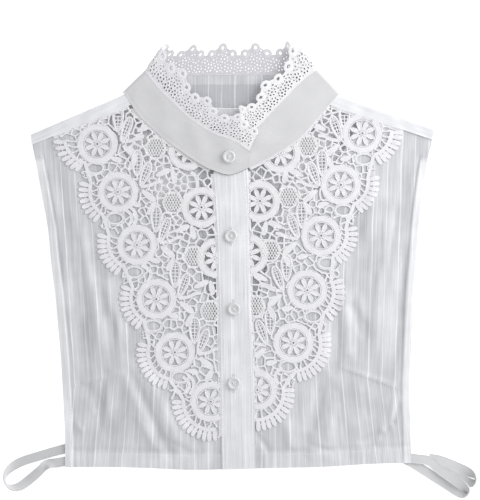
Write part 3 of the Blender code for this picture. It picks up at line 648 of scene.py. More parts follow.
def hem_line(x):
    """Give the height of the hem's edge at an X."""
    for (ax, ay), (bx, by) in zip(HEM, HEM[1:]):
        if ax <= x <= bx:
            return ay + (by - ay) * (x - ax) / (bx - ax)
    return HEM[0][1] if x < 0 else HEM[-1][1]


def turned(x, y):
    """Say how much a place of a front lies on its turned hem or armhole edge, from 0 to 1."""
    share = smooth_step(past_turn(x, y), -0.5, 0.5)
    # The hem lies double and looks whiter; it is whitened less on the right, a painted shade
    # against the stronger light there.
    hemmed = 0.45 if x < 0 else 0.3
    share = max(share, hemmed * smooth_step(hem_line(x) + HEM_TURN - y, -0.5, 0.5))
    return share * smooth_step(262 - y, 0, 6) * smooth_step(abs(x), 20, 26)


def stripe_place(x, y):
    """Give where a place lies across the stripes, which lean and break at the darts."""
    share = smooth_step(abs(x), 20, 125)
    if x < 0:
        seam = 80 - (-92 - x) * 0.28
        if y > seam:
            return x + 0.068 * share * (y - seam)
        return x + 0.085 * share * (seam - y) + 0.8 * smooth_step(-86 - x, 0, 16)
    seam = 67.5 + (138.5 - x) * 0.36
    if y > seam:
        return x - 0.03 * share * (y - seam)
    return x - 0.118 * share * (seam - y) + 0.8 * smooth_step(x, 80, 98)


def creases(x, y):
    """Give the folds finer than the solids', nowhere so deep that they would reach the back."""
    deep = (1.9 if x > 0 else 1.5) * sum(ridge_height(ridge, x, y) for ridge in CREASES)
    room = FRONT_UNDER + WALL + lift(x, y) - back_height(x, y) - 0.85
    return deep if deep > -0.4 else (deep - room + math.hypot(deep + room, 0.2)) / 2


def front_surface(x, y):
    double, up = turned(x, y), y - hem_line(x)
    fine = creases(x, y) + 0.4 * double
    ripple = math.sin(x * 1.25 + 2 * math.sin(x / 9)) * (0.6 + 0.4 * math.sin(x / 13))
    fine += 0.2 * smooth_step(20 - up, 0, 12) * ripple
    fine -= 0.5 * dip(up - HEM_TURN - 2.4, 1.5)
    if y < 264:
        inner = past_turn(x, y)
        fine += 0.2 * dip(inner - 1.6, 1.1) - 0.35 * dip(inner + 1.2, 0.8)
    for middle, wide in PUCKERS:
        if abs(x - middle) < 3 * wide:
            fine += 0.4 * dip(x - middle, wide / 1.6) * smooth_step(26 - up, 0, 20)
    fine += 0.10 * math.sin(x / 3.9 + math.sin(y / 23)) * math.cos(y / 57)
    height = FRONT_UNDER + WALL + lift(x, y) + fine
    return height, (stripe_place(x, y) / 10, y / 10), double


left_window = [(-6.9, -1), (-8.7, 104)] + through(WINDOW_LEFT[::-1], 8)
left_tip = shoulder_line(LEFT_TIP, LEFT_NECK, 1.6)[0]
front_left = panel(
    "front_left_cloth", left_side + [left_tip], left_window,
    [p for p in hem if p[0] < -12] + [(-6.9, -1)], [left_tip, (-108, 304)],
    (120, 190), front_surface, 0.55, cotton, "left")
right_window = [(10.4, -0.6), (12.9, 104)] + through(WINDOW_RIGHT[::-1], 8)
right_tip = shoulder_line(RIGHT_TIP, RIGHT_NECK, 1.6)[0]
front_right = panel(
    "front_right_cloth", right_window, right_side + [right_tip],
    [(10.4, -0.6)] + [p for p in hem if p[0] > 12], [(105, 304), right_tip],
    (120, 190), front_surface, 0.55, cotton, "right")
stand = panel(
    "button_stand", [(-6.2, -0.9), (-8, 104), (-12.3, 248)],
    [(10.4, -0.6), (12.9, 121), (10.4, 249)], [(-6.2, -0.9), (10.4, -0.6)],
    [(-12.3, 248), (10.4, 249)], (10, 120), front_surface, 0.55, cotton)
print("fronts", len(front_left.data.polygons), len(front_right.data.polygons), "faces")

# %% [markdown]
# ## The placket
# A buttonhole strip of three layers that covers the button stand. It's thicker than the fronts,
# so its left edge throws a thin shadow, and its edges are stitched 2 mm in.

# %% The neck line and the placket
Stand = namedtuple("Stand", "seam_x seam_y top_x top_y lean share raised")
STAND_LEFT = [Stand(*row) for row in (
    (10.5, 252, 12.6, 266.8, 66, 0.85, 1.5), (-4.2, 246.6, 1.7, 274.4, 62, 0.85, 1.5),
    (-17.7, 250, -7, 278, 56, 0.85, 1.5), (-31.1, 256.7, -19.4, 282.5, 52, 0.85, 0.9),
    (-56.4, 274.4, -38.5, 295.2, 50, 0.85, 0), (-67.3, 283.6, -50, 306, 48, 0.9, 0),
    (-81, 296.5, -62.3, 318.1, 50, 1, 0), (-93, 315, -74.1, 332.4, 55, 1.1, 0))]
STAND_BACK = [Stand(*row) for row in (
    (-93, 315, -74.1, 332.4, 55, 1.1, 0), (-60, 308.5, -48, 331.2, 68, 1, 0),
    (-30, 304.5, -24, 330.8, 80, 1, 0), (0, 303, 0, 330.8, 88, 1, 0),
    (30, 304, 22, 331, 93, 1, 0), (60, 307.5, 45, 332, 97, 1, 0),
    (87, 314, 67.3, 334.1, 126, 1.15, 0))]
STAND_RIGHT = [Stand(*row) for row in (
    (87, 314, 67.3, 334.1, 126, 1.15, 0), (76.6, 302.6, 57, 326, 128, 0.95, 0),
    (68.6, 292.9, 46, 315, 138, 0.85, 0), (58.1, 281.1, 34.5, 303, 143, 0.85, 0),
    (46.3, 271.5, 25.5, 293.5, 142, 0.85, 0), (23.6, 258.4, 13.5, 282, 122, 0.85, 0),
    (5, 250.5, 1, 276.5, 108, 0.8, 0), (-14, 250.8, -10, 276, 95, 0.7, 0))]


def neck_seam(rows, step=4):
    """Give the neck seam of one side of the collar."""
    return [(row[0], row[1]) for row in through(rows, step)]


def placket_surface(x, y):
    fine = 0.10 * math.sin(y / 19) * math.sin(x / 6 + 1)
    share = (x - along(PLACKET_LEFT, y)) / 29
    for line, width, depth in ((0.07, 0.022, -0.22), (0.93, 0.022, -0.22), (0.33, 0.05, 0.10),
                               (0.62, 0.05, 0.12)):
        fine += depth * dip(share - line, width)
    edge = smooth_step(min(share, 1 - share), 0, 0.025)
    height = PLACKET_UNDER + PLACKET_WALL - 0.25 + lift(x, y) + fine - 0.3 * (1 - edge)
    return height, (x / 10 + 0.3, y / 10), 0.85


placket_top = shifted([p for p in neck_seam(STAND_LEFT, 2) if p[0] > -18.6], 0.12)[::-1]
placket_left = [tuple(p) for p in through(PLACKET_LEFT, 6)[::-1]]
placket_right = [tuple(p) for p in through(PLACKET_RIGHT, 6)[::-1]]
placket_left[-1], placket_right[-1] = placket_top[0], placket_top[-1]
placket = panel("placket_strip", placket_left, placket_right,
                [placket_left[0], (3, -0.9), placket_right[0]], placket_top,
                (58, 200), placket_surface, 0.85, cotton)
print("placket", len(placket.data.polygons), "faces")

# %% [markdown]
# ## Bent strips
# The shoulder strips, the collar band and the elastic are long strips that bend in space. Each
# is a grid whose rows follow a list of stations, with a wall on both sides of its middle.

# %% A bent strip


def bent_strip(name, columns, rows, place, wall, finish, grain_per_column=0.1, wide=1):
    """Make a strip: place(column share, row share) gives its middle surface in millimetres."""

    def spot(u, t):
        x, y, z = place(u, t)
        return world(x, y, z), (t * wide, u * grain_per_column), 1

    piece = grid_piece(name, columns, rows)
    shape_grid(piece, spot)
    wall_on(piece, wall, 0)
    piece.data.materials.append(finish)
    smooth(piece)
    return piece


STRIP_PROFILE = [(0.5, 0.5), (0.5, 1.9), (1.3, 3), (3, 3.15), (7, 3.1), (10.3, 3.1)]


def shoulder_strip(name, tip, neck, low_line):
    profile = Line(through(STRIP_PROFILE, 0.5))

    def place(u, t):
        top = Vector(tip).lerp(Vector(neck), u * 1.004)
        bottom = Vector(low_line[0]).lerp(Vector(low_line[1]), u * 1.018)
        depth, height = profile.at(t)
        spot = top.lerp(bottom, depth / 10.4)
        rise = smooth_step(t, 0.02, 0.2) * (lift(spot.x, spot.y) + 0.12 * math.sin(u * 31 + t * 3))
        if t > 0.84:
            rise -= 0.18 * dip(t - 0.9, 0.02)
        return spot.x, spot.y, height + rise

    return bent_strip(name, 60, 26, place, 0.7, cotton, grain_per_column=8.5, wide=1.3)


strips = [shoulder_strip("shoulder_left_cloth", LEFT_TIP, LEFT_NECK, STRIP_LEFT_LOW),
          shoulder_strip("shoulder_right_cloth", RIGHT_TIP, RIGHT_NECK, STRIP_RIGHT_LOW)]
print("shoulder strips", [len(strip.data.polygons) for strip in strips])

# %% [markdown]
# ## The stand collar
# One band of plain cotton runs from the button, round the back, to the other front end. It's
# folded flat at both sides. Each station below holds a place on the neck seam, a place on the
# lace seam, and the way in which the lace points.

# %% Stations round the collar
COLLAR_RISE, LACE_RISE, EDGING_VALLEY, EDGING_PEAK = 1.3, 0.8, 18.5, 7.5
EDGING_REPEAT, EDGING_START = 31, 118
FOLD_LEFT_OUT, FOLD_RIGHT_OUT = (-0.763, 0.647), (0.863, 0.506)


def collar_stations(step):
    """List a seam place, a top place and the lace's direction for each step round the neck."""
    found = []
    rise = LACE_RISE / EDGING_VALLEY

    def station(row, front):
        row = Stand(*row)
        seam_z = COLLAR_MIDDLE + lift(row.seam_x, row.seam_y) + row.raised
        lean = math.radians(row.lean)
        ray = Vector((math.cos(lean), math.sin(lean), 0)) * row.share
        ray.z = rise if front else 0
        found.append([Vector((row.seam_x, row.seam_y, seam_z if front else WALL / 2)),
                      Vector((row.top_x, row.top_y, seam_z + COLLAR_RISE if front else WALL / 2)),
                      ray])

    def fold(out, from_front):
        """Turn the band over in a half round, down to the surface or up to the front again."""
        seam, top, ray = found[-1]
        seam_z = COLLAR_MIDDLE + lift(seam.x, seam.y)
        other = [WALL / 2, WALL / 2] if from_front else [seam_z, seam_z + COLLAR_RISE]
        for count in range(1, 9):
            angle = math.pi * count / 8
            fresh = []
            for point, target in zip((seam, top), other):
                reach = math.sin(angle) * abs(point.z - target) / 2
                fresh.append(Vector((
                    point.x + out[0] * reach, point.y + out[1] * reach,
                    (point.z + target) / 2 + math.cos(angle) * (point.z - target) / 2)))
            share = (1 + math.cos(angle)) / 2 if from_front else (1 - math.cos(angle)) / 2
            found.append(fresh + [Vector((ray.x, ray.y, rise * share))])

    for rows, out in ((STAND_LEFT, FOLD_LEFT_OUT), (STAND_BACK, FOLD_RIGHT_OUT),
                      (STAND_RIGHT, None)):
        front = rows is not STAND_BACK
        for row in through(rows, step)[1 if found else 0:]:
            station(row, front)
        if out:
            fold(out, front)
    return found


stations = collar_stations(2)
seam_line = Line([tuple(s[0]) for s in stations])
print("collar stations", len(stations), "seam", round(seam_line.runs[-1]), "mm round")

# %% The band


def band_place(u, t):
    k = round(u * (len(stations) - 1))
    seam, top, _ = stations[k]
    width = (top - seam).length
    spot = seam.lerp(top, (0.15 + t * (width - 0.3)) / width)
    if spot.z > 1.6:
        run = seam_line.runs[k]
        soft = 0.36 * math.sin(run / 11 + 2.5 * t) + 0.3 * math.sin(run / 6.1 - 3.4 * t + 1)
        spot.z += soft * math.sin(math.pi * t) * (0.7 + 0.5 * math.sin(run / 29))
        spot.z -= 0.20 * dip(t * width - 2.2, 0.45) + 0.16 * dip(t * width - width + 1.9, 0.45)
    return spot


band = bent_strip("collar_band_cloth", len(stations) - 1, 24, band_place, 0.8, plain,
                  grain_per_column=42, wide=2.9)
print("band", len(band.data.polygons), "faces")

# %% The band's lining
# Inside the neck the band is lined with the striped cotton, painted greyer as shade from the collar
# round it, and the lace's seam allowance shows as a lighter strip along its top.
seam_back, top_back = zip(*((row[:2], row[2:4]) for row in through(STAND_BACK, 4)))


def lining_surface(x, y):
    allowance = smooth_step(y, 322.6, 323.4)
    height = 1.02 + 0.06 * math.sin(x / 5) + 0.12 * allowance
    # Painted shade: the lining is greyed, a little less along the seam allowance strip.
    return height, (x / 10, y / 10), -0.75 + 0.6 * allowance


lining = panel("band_lining", [seam_back[2], top_back[2]], [seam_back[-3], top_back[-3]],
               seam_back[2:-2], top_back[2:-2], (90, 30), lining_surface, 0.3, cotton)
print("lining", len(lining.data.polygons), "faces")

# %% [markdown]
# ## Lace, cord by cord
# Corded lace is thread wound into cords and pads, so that is how it's made here: each motif is a
# set of lines, and each line becomes a cord with an oval section. Round cords make the net and
# the outlines, and flat pads make the satin parts.

# %% Cords and pads


def cord_section(name, corners):
    """Make the section of a cord, a millimetre in half width; each point of a line scales it."""
    curve = bpy.data.curves.new(name, "CURVE")
    curve.dimensions, curve.fill_mode = "2D", "NONE"
    line = curve.splines.new("POLY")
    line.points.add(len(corners) - 1)
    for point, (x, z) in zip(line.points, corners):
        point.co = (x * MM, z * MM, 0, 1)
    line.use_cyclic_u = True
    return add_piece(name, curve)


def six_sided(tall):
    turns = [2 * math.pi * (k + 0.5) / 6 for k in range(6)]
    return [(math.cos(turn), tall * math.sin(turn)) for turn in turns]


SECTIONS = {"cord": cord_section("cord_section", six_sided(0.68)),
            "pad": cord_section("pad_section", six_sided(0.36)),
            "flat": cord_section("flat_section", [(1, 0), (0.94, 0.2), (-0.94, 0.2), (-1, 0),
                                                  (-0.94, -0.2), (0.94, -0.2)])}


class Cords:
    """The cords of one lace piece: lines of measured places with a half width at each."""

    def __init__(self, place, keep):
        self.place, self.keep = place, keep
        self.lines = {kind: [] for kind in SECTIONS}

    def add(self, points, half, kind="cord", closed=False, high=0.45):
        """Add a line of (x, y) places; half is one half width or one for each place."""
        halves = half if hasattr(half, "__len__") else [half] * len(points)
        rows = [(x, y, high, h) for (x, y), h in zip(points, halves)]
        kept = [self.keep(x, y) for x, y in points]
        if all(kept):
            self.lines[kind].append((rows, closed))
            return
        if not any(kept):
            return
        if closed:
            start = kept.index(False)
            rows, kept = rows[start:] + rows[:start], kept[start:] + kept[:start]
        run = []
        for row, kept_here in zip(rows + [None], kept + [False]):
            if kept_here:
                run.append(row)
            else:
                if len(run) > 1:
                    self.lines[kind].append((run, False))
                run = []

    def ring(self, x, y, reach, half, kind="cord", high=0.45, step=1.7, tall=None):
        """Add a closed ring, or an oval one where tall is given."""
        count = max(9, round(2 * math.pi * reach / step))
        self.add(circle(x, y, reach, tall or reach, count), half, kind, True, high)

    def build(self, name, finish):
        """Turn all lines into one mesh."""
        made = []
        for kind, section in SECTIONS.items():
            if not self.lines[kind]:
                continue
            curve = bpy.data.curves.new(f"{name}_{kind}", "CURVE")
            curve.dimensions, curve.twist_mode = "3D", "Z_UP"
            curve.bevel_mode, curve.bevel_object = "OBJECT", section
            for rows, closed in self.lines[kind]:
                line = curve.splines.new("POLY")
                line.points.add(len(rows) - 1)
                for point, (x, y, high, half) in zip(line.points, rows):
                    point.co = (*world(*self.place(x, y, high)), 1)
                    point.radius = half
                line.use_cyclic_u = closed
            made.append(add_piece(f"{name}_{kind}", curve))
        pick(*made)
        bpy.ops.object.convert(target="MESH")
        bpy.ops.object.join()
        piece = bpy.context.object
        piece.name = piece.data.name = name
        solid = bmesh.new()
        solid.from_mesh(piece.data)
        bmesh.ops.holes_fill(solid, edges=[e for e in solid.edges if e.is_boundary], sides=0)
        bmesh.ops.recalc_face_normals(solid, faces=solid.faces)
        solid.to_mesh(piece.data)
        solid.free()
        piece.data.materials.clear()
        piece.data.materials.append(finish)
        smooth(piece, 66)
        return piece


print("cord and pad sections ready")

# %% The motifs of the lace
FINGER = 9.2


def leaf_line(x, y, turn, length, wide, count=14):
    """Give a pointed leaf's outline from its foot, turned to a direction in degrees."""
    found = []
    ux, uy = math.cos(math.radians(turn)), math.sin(math.radians(turn))
    for k in range(count):
        a = 2 * math.pi * k / count
        onward = length * (0.5 - 0.5 * math.cos(a))
        aside = wide * math.sin(a) * (0.55 + 0.45 * (0.5 - 0.5 * math.cos(a)))
        found.append((x + ux * onward - uy * aside, y + uy * onward + ux * aside))
    return found


def wheel(cords, x, y):
    """A wheel: a small ring, eight petals, thin rings and a flat satin band."""
    cords.ring(x, y, 1.4, 0.55, high=0.75, step=1)
    for k in range(8):
        turn = 45 * k + 22.5
        cords.add(leaf_line(*polar(x, y, 1.8, turn), turn, 8.7, 2, 12), 0.48, closed=True,
                  high=0.55)
        spine = [polar(x, y, reach, turn) for reach in (3, 4.8, 6.8, 8.6, 9.8)]
        cords.add(spine, (0.4, 1, 1.5, 1.4, 0.6), "flat", high=0.42)
    cords.ring(x, y, 11.2, 0.5, high=0.55)
    cords.ring(x, y, 14.15, 2.35, "flat", high=0.42, step=2)
    for reach, half, high in ((12.6, 0.36, 0.46), (13.9, 0.32, 0.5), (15.2, 0.34, 0.46)):
        cords.ring(x, y, reach, half, high=high)
    rim = circle(x, y, 1, 1, 63, lambda a: 16.2 + 0.85 * abs(math.sin(a * 3.5 + 0.4)))
    cords.add(rim, 0.5, closed=True, high=0.48)


def scallop(cords, one):
    """A scallop round its wheel: ladder and the row of plump fingers; the edge band is worked for
    the whole bib.
    """
    span = one.turn_last - one.turn_first
    sign = 1 if span > 0 else -1

    def reach_at(t):
        return one.reach_first + (one.reach_last - one.reach_first) * t

    middle = (one.reach_first + one.reach_last) / 2
    bars = max(4, round(abs(math.radians(span)) * 19 / 4.3))
    for k in range(bars + 1):
        t = k / bars
        turn = one.turn_first + span * t
        outer = reach_at(t) - 11.3
        if outer > 18:
            slant = sign * random.choice((-3.5, 0.5, 3.5))
            cords.add([polar(one.x, one.y, 16.8, turn - slant),
                       polar(one.x, one.y, (17 + outer) / 2, turn + sign * 1.5),
                       polar(one.x, one.y, outer, turn + slant)], (1.1, 0.65, 1.1))
    fingers = round(abs(math.radians(span)) * middle / 5)
    spots = []
    for k in range(fingers):
        t = (k + 0.5) / fingers
        turn = one.turn_first + span * t + random.uniform(-0.5, 0.5)
        tip = reach_at(t) - random.uniform(0.1, 0.9)
        foot = tip - FINGER
        wide = random.uniform(1.75, 2)
        spine = [polar(one.x, one.y, foot + (tip - foot) * s, turn)
                 for s in (0, 0.2, 0.45, 0.7, 0.88, 0.97)]
        cords.add(spine, [wide * s for s in (0.62, 0.8, 0.92, 1, 0.85, 0.45)], "flat", high=0.42)
        line = leaf_line(*polar(one.x, one.y, foot - 0.8, turn), turn, tip - foot + 0.8, wide, 14)
        cords.add(line, 0.5, "pad", closed=True, high=0.58)
        spots.append([polar(one.x, one.y, foot + (tip - foot) * s, turn) for s in (0.12, 0.45)])
    for before, after in zip(spots, spots[1:]):
        for a, b in zip(before, after):
            cords.add([a, b], 0.42, high=0.35)


def berry(cords, x, y, dots):
    """A berry of raised dots inside a broad rim with six soft corners."""
    rim = circle(x, y, 7.9, 8.8, 42,
                 lambda a: 1 + 0.028 * math.cos(6 * a) + 0.02 * math.cos(14 * a))
    cords.add(rim, 0.95, "flat", closed=True, high=0.4)
    pitch = 2.35
    for row in range(-4, 5):
        for column in range(-4, 5):
            dx = (column + (0.5 if row % 2 else 0)) * pitch
            dy = row * pitch * 0.9
            if (dx / 7.4) ** 2 + (dy / 8.2) ** 2 < 1:
                dots.append((x + dx, y + dy))
            if (dx / 7.4) ** 2 + (dy / 7.8) ** 2 < 1:
                for way in (-1, 1):
                    cords.add([(x + dx, y + dy), (x + dx + way * pitch / 2, y + dy + pitch * 0.9)],
                              0.5, high=0.3)


def ladder_leaf(cords, x, y, turn, length, half):
    """A leaf with a broad corded outline, a vein and ladder bars on both sides of it."""
    cords.add(leaf_line(x, y, turn, length, half, 20), 1, "pad", closed=True, high=0.5)
    cords.add(leaf_line(x, y, turn, length, half, 20), 0.45, closed=True, high=0.75)
    inner = leaf_line(*polar(x, y, 1.8, turn), turn, length - 3.6, half - 1.6, 18)
    cords.add(inner, 0.36, closed=True, high=0.5)
    cords.add([polar(x, y, length * s, turn) for s in (0, 0.3, 0.6, 0.95)], 0.5, high=0.55)
    for k in range(2, 8):
        cords.add([inner[k], inner[-k]], 0.5, high=0.38)


def solid_leaf(cords, x, y, turn, length, half):
    """A satin leaf: two flat halves beside a vein, inside a corded outline."""
    spine = [polar(x, y, length * s, turn) for s in (0.04, 0.2, 0.45, 0.75, 0.97)]
    cords.add(spine, [half * s for s in (0.6, 0.95, 1.05, 0.95, 0.6)], "flat", high=0.4)
    cords.add(leaf_line(x, y, turn, length, half * 1.3, 14), 0.5, closed=True, high=0.5)
    cords.add(spine[:4], 0.32, high=0.6)


def stem(cords, points):
    """A stem: two cords side by side over a flat pad."""
    line = [p[:2] for p in through(points, 2)]
    cords.add(line, 1.3, "flat", high=0.42)
    for aside in (-1.1, 1.1):
        cords.add(shifted(line, aside), 0.42, high=0.5)


print("motifs: wheel, scallop, berry, ladder leaf, solid leaf, stem")

# %% [markdown]
# ## The net between the motifs
# The ground of the lace is an uneven net. Seeds are scattered where no motif is, closer or
# further apart, and each seed owns the ground nearest to it. The borders between those cells are
# the net's bars, which gives the uneven five and six sided holes of the real ground.

# %% An uneven net
SEED_TRIES = 9000
Wheel = namedtuple("Wheel", "x y reach_first reach_last turn_first turn_last")


def circle_centre(a, b, c):
    """Give the centre of the circle through three places."""
    d = 2 * (a[0] * (b[1] - c[1]) + b[0] * (c[1] - a[1]) + c[0] * (a[1] - b[1]))
    if abs(d) < 1e-9:
        return None
    sa, sb, sc = (p[0] ** 2 + p[1] ** 2 for p in (a, b, c))
    return ((sa * (b[1] - c[1]) + sb * (c[1] - a[1]) + sc * (a[1] - b[1])) / d,
            (sa * (c[0] - b[0]) + sb * (a[0] - c[0]) + sc * (b[0] - a[0])) / d)


def net_bars(seeds):
    """Give the borders between the cells of scattered seeds."""
    places, _, faces, *_ = delaunay_2d_cdt([Vector(s) for s in seeds], [], [], 0, 1e-5)
    owners = {}
    for face in faces:
        centre = circle_centre(*(places[k] for k in face))
        for a, b in zip(face, face[1:] + face[:1]):
            owners.setdefault((min(a, b), max(a, b)), []).append(centre)
    return [pair for pair in owners.values() if len(pair) == 2 and all(pair)
            and 0.25 < math.dist(*pair) < 16]


def scattered(outline, clear, firm):
    """Throw seeds over an outline, and keep each that lands on free ground with its own room."""
    found = [(x, y, 4.6) for x, y in firm]
    xs, ys = [p[0] for p in outline], [p[1] for p in outline]
    for _ in range(SEED_TRIES):
        x, y = random.uniform(min(xs) - 4, max(xs) + 4), random.uniform(min(ys) - 4, max(ys) + 4)
        room = random.uniform(3.5, 5.4) + 1.1 * smooth_step(48 - abs(x), 0, 20)
        if all(math.dist((x, y), (fx, fy)) > min(room, other + 1) for fx, fy, other in found) \
                and clear(x, y):
            found.append((x, y, room))
    return [seed[:2] for seed in found]


print("net ready")

# %% The two bibs: where their motifs are
WHEELS_LEFT = [Wheel(*row) for row in (
    (-115.9, 272.7, 38, 29, 173, 236), (-98.5, 232.3, 34, 33, 163, 235),
    (-82.5, 187.7, 35, 31.5, 161, 237), (-66.2, 142.2, 31.8, 31, 156, 240),
    (-50.7, 97.3, 32.5, 33, 163, 258), (-20.6, 55.7, 33, 33.5, 176, 281),
    (-39.6, 267.6, 0, 0, 0, 0), (-28.2, 219.4, 0, 0, 0, 0), (-15.1, 176.7, 0, 0, 0, 0))]
WHEELS_RIGHT = [Wheel(*row) for row in (
    (107.1, 281.7, 35, 31, 6, -62), (89, 238.3, 33.8, 30, 15, -56),
    (72.5, 195.5, 32, 29.5, 17, -58), (60.8, 149.7, 31.5, 34, 20, -54),
    (49.1, 105.3, 32.7, 34, 18, -84), (18.7, 65.7, 32, 35.5, 4, -93), (38.4, 265.1, 0, 0, 0, 0),
    (21, 224.7, 0, 0, 0, 0), (10.9, 179.7, 0, 0, 0, 0))]
BERRIES_LEFT = [(-66.5, 269.3), (-52.2, 223.4), (-34.5, 177.8), (-20.6, 132.1)]
BERRIES_RIGHT = [(61.4, 271), (45.4, 228.1), (29.8, 183), (16.8, 136.3)]
LEAVES_LEFT = [(-98.5, 296), (-82.5, 258.4), (-66.5, 211.2), (-50.5, 164.4), (-34.1, 117.5)]
LEAVES_RIGHT = [(92, 297), (73.2, 258.4), (56, 214.5), (43.2, 170.5), (29.5, 125)]


def along_strip(low_line, x):
    (ax, ay), (bx, by) = low_line
    return x, ay + (by - ay) * (x - ax) / (bx - ax)


def bib_edges(side):
    """Give a bib's straight edges: along the shoulder strip, the neck seam and the placket."""
    gap = side * (SEAM + 0.2)
    if side < 0:
        seam = [p for p in neck_seam(STAND_LEFT)[::-1] if -86.8 < p[0] < -19.6]
        strip = [along_strip(STRIP_LEFT_LOW, x) for x in (-153, -89.5)]
        front = [(x + gap, y) for x, y in through(PLACKET_LEFT, 6) if 26 < y < 250]
    else:
        seam = [p for p in neck_seam(STAND_RIGHT) if 11.6 < p[0] < 79.5]
        strip = [along_strip(STRIP_RIGHT_LOW, x) for x in (141.5, 81)]
        front = [(x + gap, y) for x, y in through(PLACKET_RIGHT, 6) if 32 < y < 252]
    return shifted(strip, gap), shifted(seam, gap), front


def arc(one, count, inward=0):
    """Give places along a scallop's outer edge, or further in."""
    return [polar(one.x, one.y,
                  one.reach_first + (one.reach_last - one.reach_first) * k / count - inward,
                  one.turn_first + (one.turn_last - one.turn_first) * k / count)
            for k in range(count + 1)]


def bib_outline(outer, edges):
    """Close a bib's outline with its scallops, and list the places between the scallops."""
    edge, notches = arc(outer[0], 16), []
    for before, one in zip(outer, outer[1:]):
        fresh = arc(one, 16)
        heart = Vector(((before.x + one.x) / 2, (before.y + one.y) / 2))
        notches.append(tuple(((Vector(edge[-1]) + Vector(fresh[0])) / 2).lerp(heart, 0.16)))
        edge += [notches[-1]] + fresh
    strip, seam, front = edges
    return strip + seam + front + edge[::-1], notches


Bib = namedtuple("Bib", "side wheels outer berries leaves outline notches")
bibs = {}
for key, side, wheels, berries, leaves in (
        ("left", -1, WHEELS_LEFT, BERRIES_LEFT, LEAVES_LEFT),
        ("right", 1, WHEELS_RIGHT, BERRIES_RIGHT, LEAVES_RIGHT)):
    outer = [one for one in wheels if one.reach_first]
    outline, notches = bib_outline(outer, bib_edges(side))
    bibs[key] = Bib(side, wheels, outer, berries, leaves, outline, notches)
    print(key, "bib", round(area_of(outline), 4), "square metres inside its outline")

# %% Work the bibs


def lace_place(x, y, high):
    return x, y, LACE_UNDER + lift(x, y) + creases(x, y) + high - 0.22


def in_scallop(one, x, y):
    """Say whether a place lies beyond a wheel's ladder, in its scallop."""
    reach = math.dist((x, y), (one.x, one.y))
    turn = math.degrees(math.atan2(y - one.y, x - one.x)) % 360
    first, last = one.turn_first % 360, one.turn_last % 360
    start, stop = (first, last) if one.turn_last > one.turn_first else (last, first)
    width = (stop - start) % 360
    return 17 < reach < 40 and (turn - start) % 360 <= width


def net_openings(bib, ovals):
    """Find the larger holes of the net as the solids have them, the largest first."""
    motifs = [(w.x, w.y, 17) for w in bib.wheels]
    for spots, reach in ((bib.berries, 9), (bib.leaves, 6.5), (ovals, 5.8)):
        motifs += [(x, y, reach) for x, y in spots]
    xs, ys = zip(*bib.outline)
    places = []
    for y in steps(min(ys), max(ys), 2.6):
        for x in steps(min(xs), max(xs), 2.6):
            if inside(x, y, bib.outline):
                band_wide = 7.8 if abs(x) > 60 else 0
                room = min([math.dist((x, y), (mx, my)) - reach for mx, my, reach in motifs]
                           + [to_edge(x, y, bib.outline) - band_wide - 0.65])
                if room > 3.6:
                    places.append([min(room - 1.3, 4.2), x, y])
    chosen = []
    while places and len(chosen) < 44:
        places.sort(reverse=True)
        reach, x, y = places.pop(0)
        chosen.append((x, y))
        for place in places:
            place[0] = min(place[0], math.dist((x, y), place[1:]) - reach - 1.3)
        places = [place for place in places if place[0] > 2.3]
    return chosen


# The spray that is repeated beside each outer wheel, from its ladder leaf's own middle: across
# towards the placket, up, direction in degrees, length and half width
LADDER_LEAVES = [(-0.2, -12.5, 89, 21.5, 5.3), (2.9, -21, 69, 21.5, 4.3)]
SOLID_LEAVES = [(4, -24.4, -40, 15, 2.3), (15.4, -34, -118, 12.5, 2.1),
                (16, -12.5, 24, 13, 2.1), (29.6, -6.8, -78, 12, 2),
                (-5.6, -35.5, -12, 9, 1.9)]
STEMS = [[(3.2, -21.6), (11.7, -20.3), (17.5, -17.4), (22, -17.2)],
         [(45.5, -9.4), (49.1, -12.6), (51, -19), (50.5, -24.4)],
         [(-10, -40.5), (-5.2, -45), (-4.6, -50), (-7.6, -54.6)],
         [(-6, -38.5), (-1.4, -43.6), (-0.8, -50), (-4, -55.6)]]


def spray(cords, x, y, side, taken):
    """Work one spray of leaves and stems, and note the ground it takes."""
    large = [(mx, my, reach) for mx, my, _, _, reach in taken if reach > 6]
    for shapes, work in ((LADDER_LEAVES, ladder_leaf), (SOLID_LEAVES, solid_leaf)):
        for dx, dy, turn, length, half in shapes:
            turn = turn if side < 0 else 180 - turn
            foot = (x - side * dx, y + dy)
            if all(math.dist(polar(*foot, length / 2, turn), spot) >= reach
                   for *spot, reach in large):
                work(cords, *foot, turn, length, half)
                taken.append((*polar(*foot, half, turn), *polar(*foot, length - half, turn),
                              0.8 * half + 0.4))
    for line in STEMS:
        points = [(x - side * dx, y + dy) for dx, dy in line]
        if all(math.dist(p, spot) > reach - 2 for p in points for *spot, reach in large):
            stem(cords, points)
            taken.extend((*a, *b, 1.2) for a, b in zip(points, points[1:]))


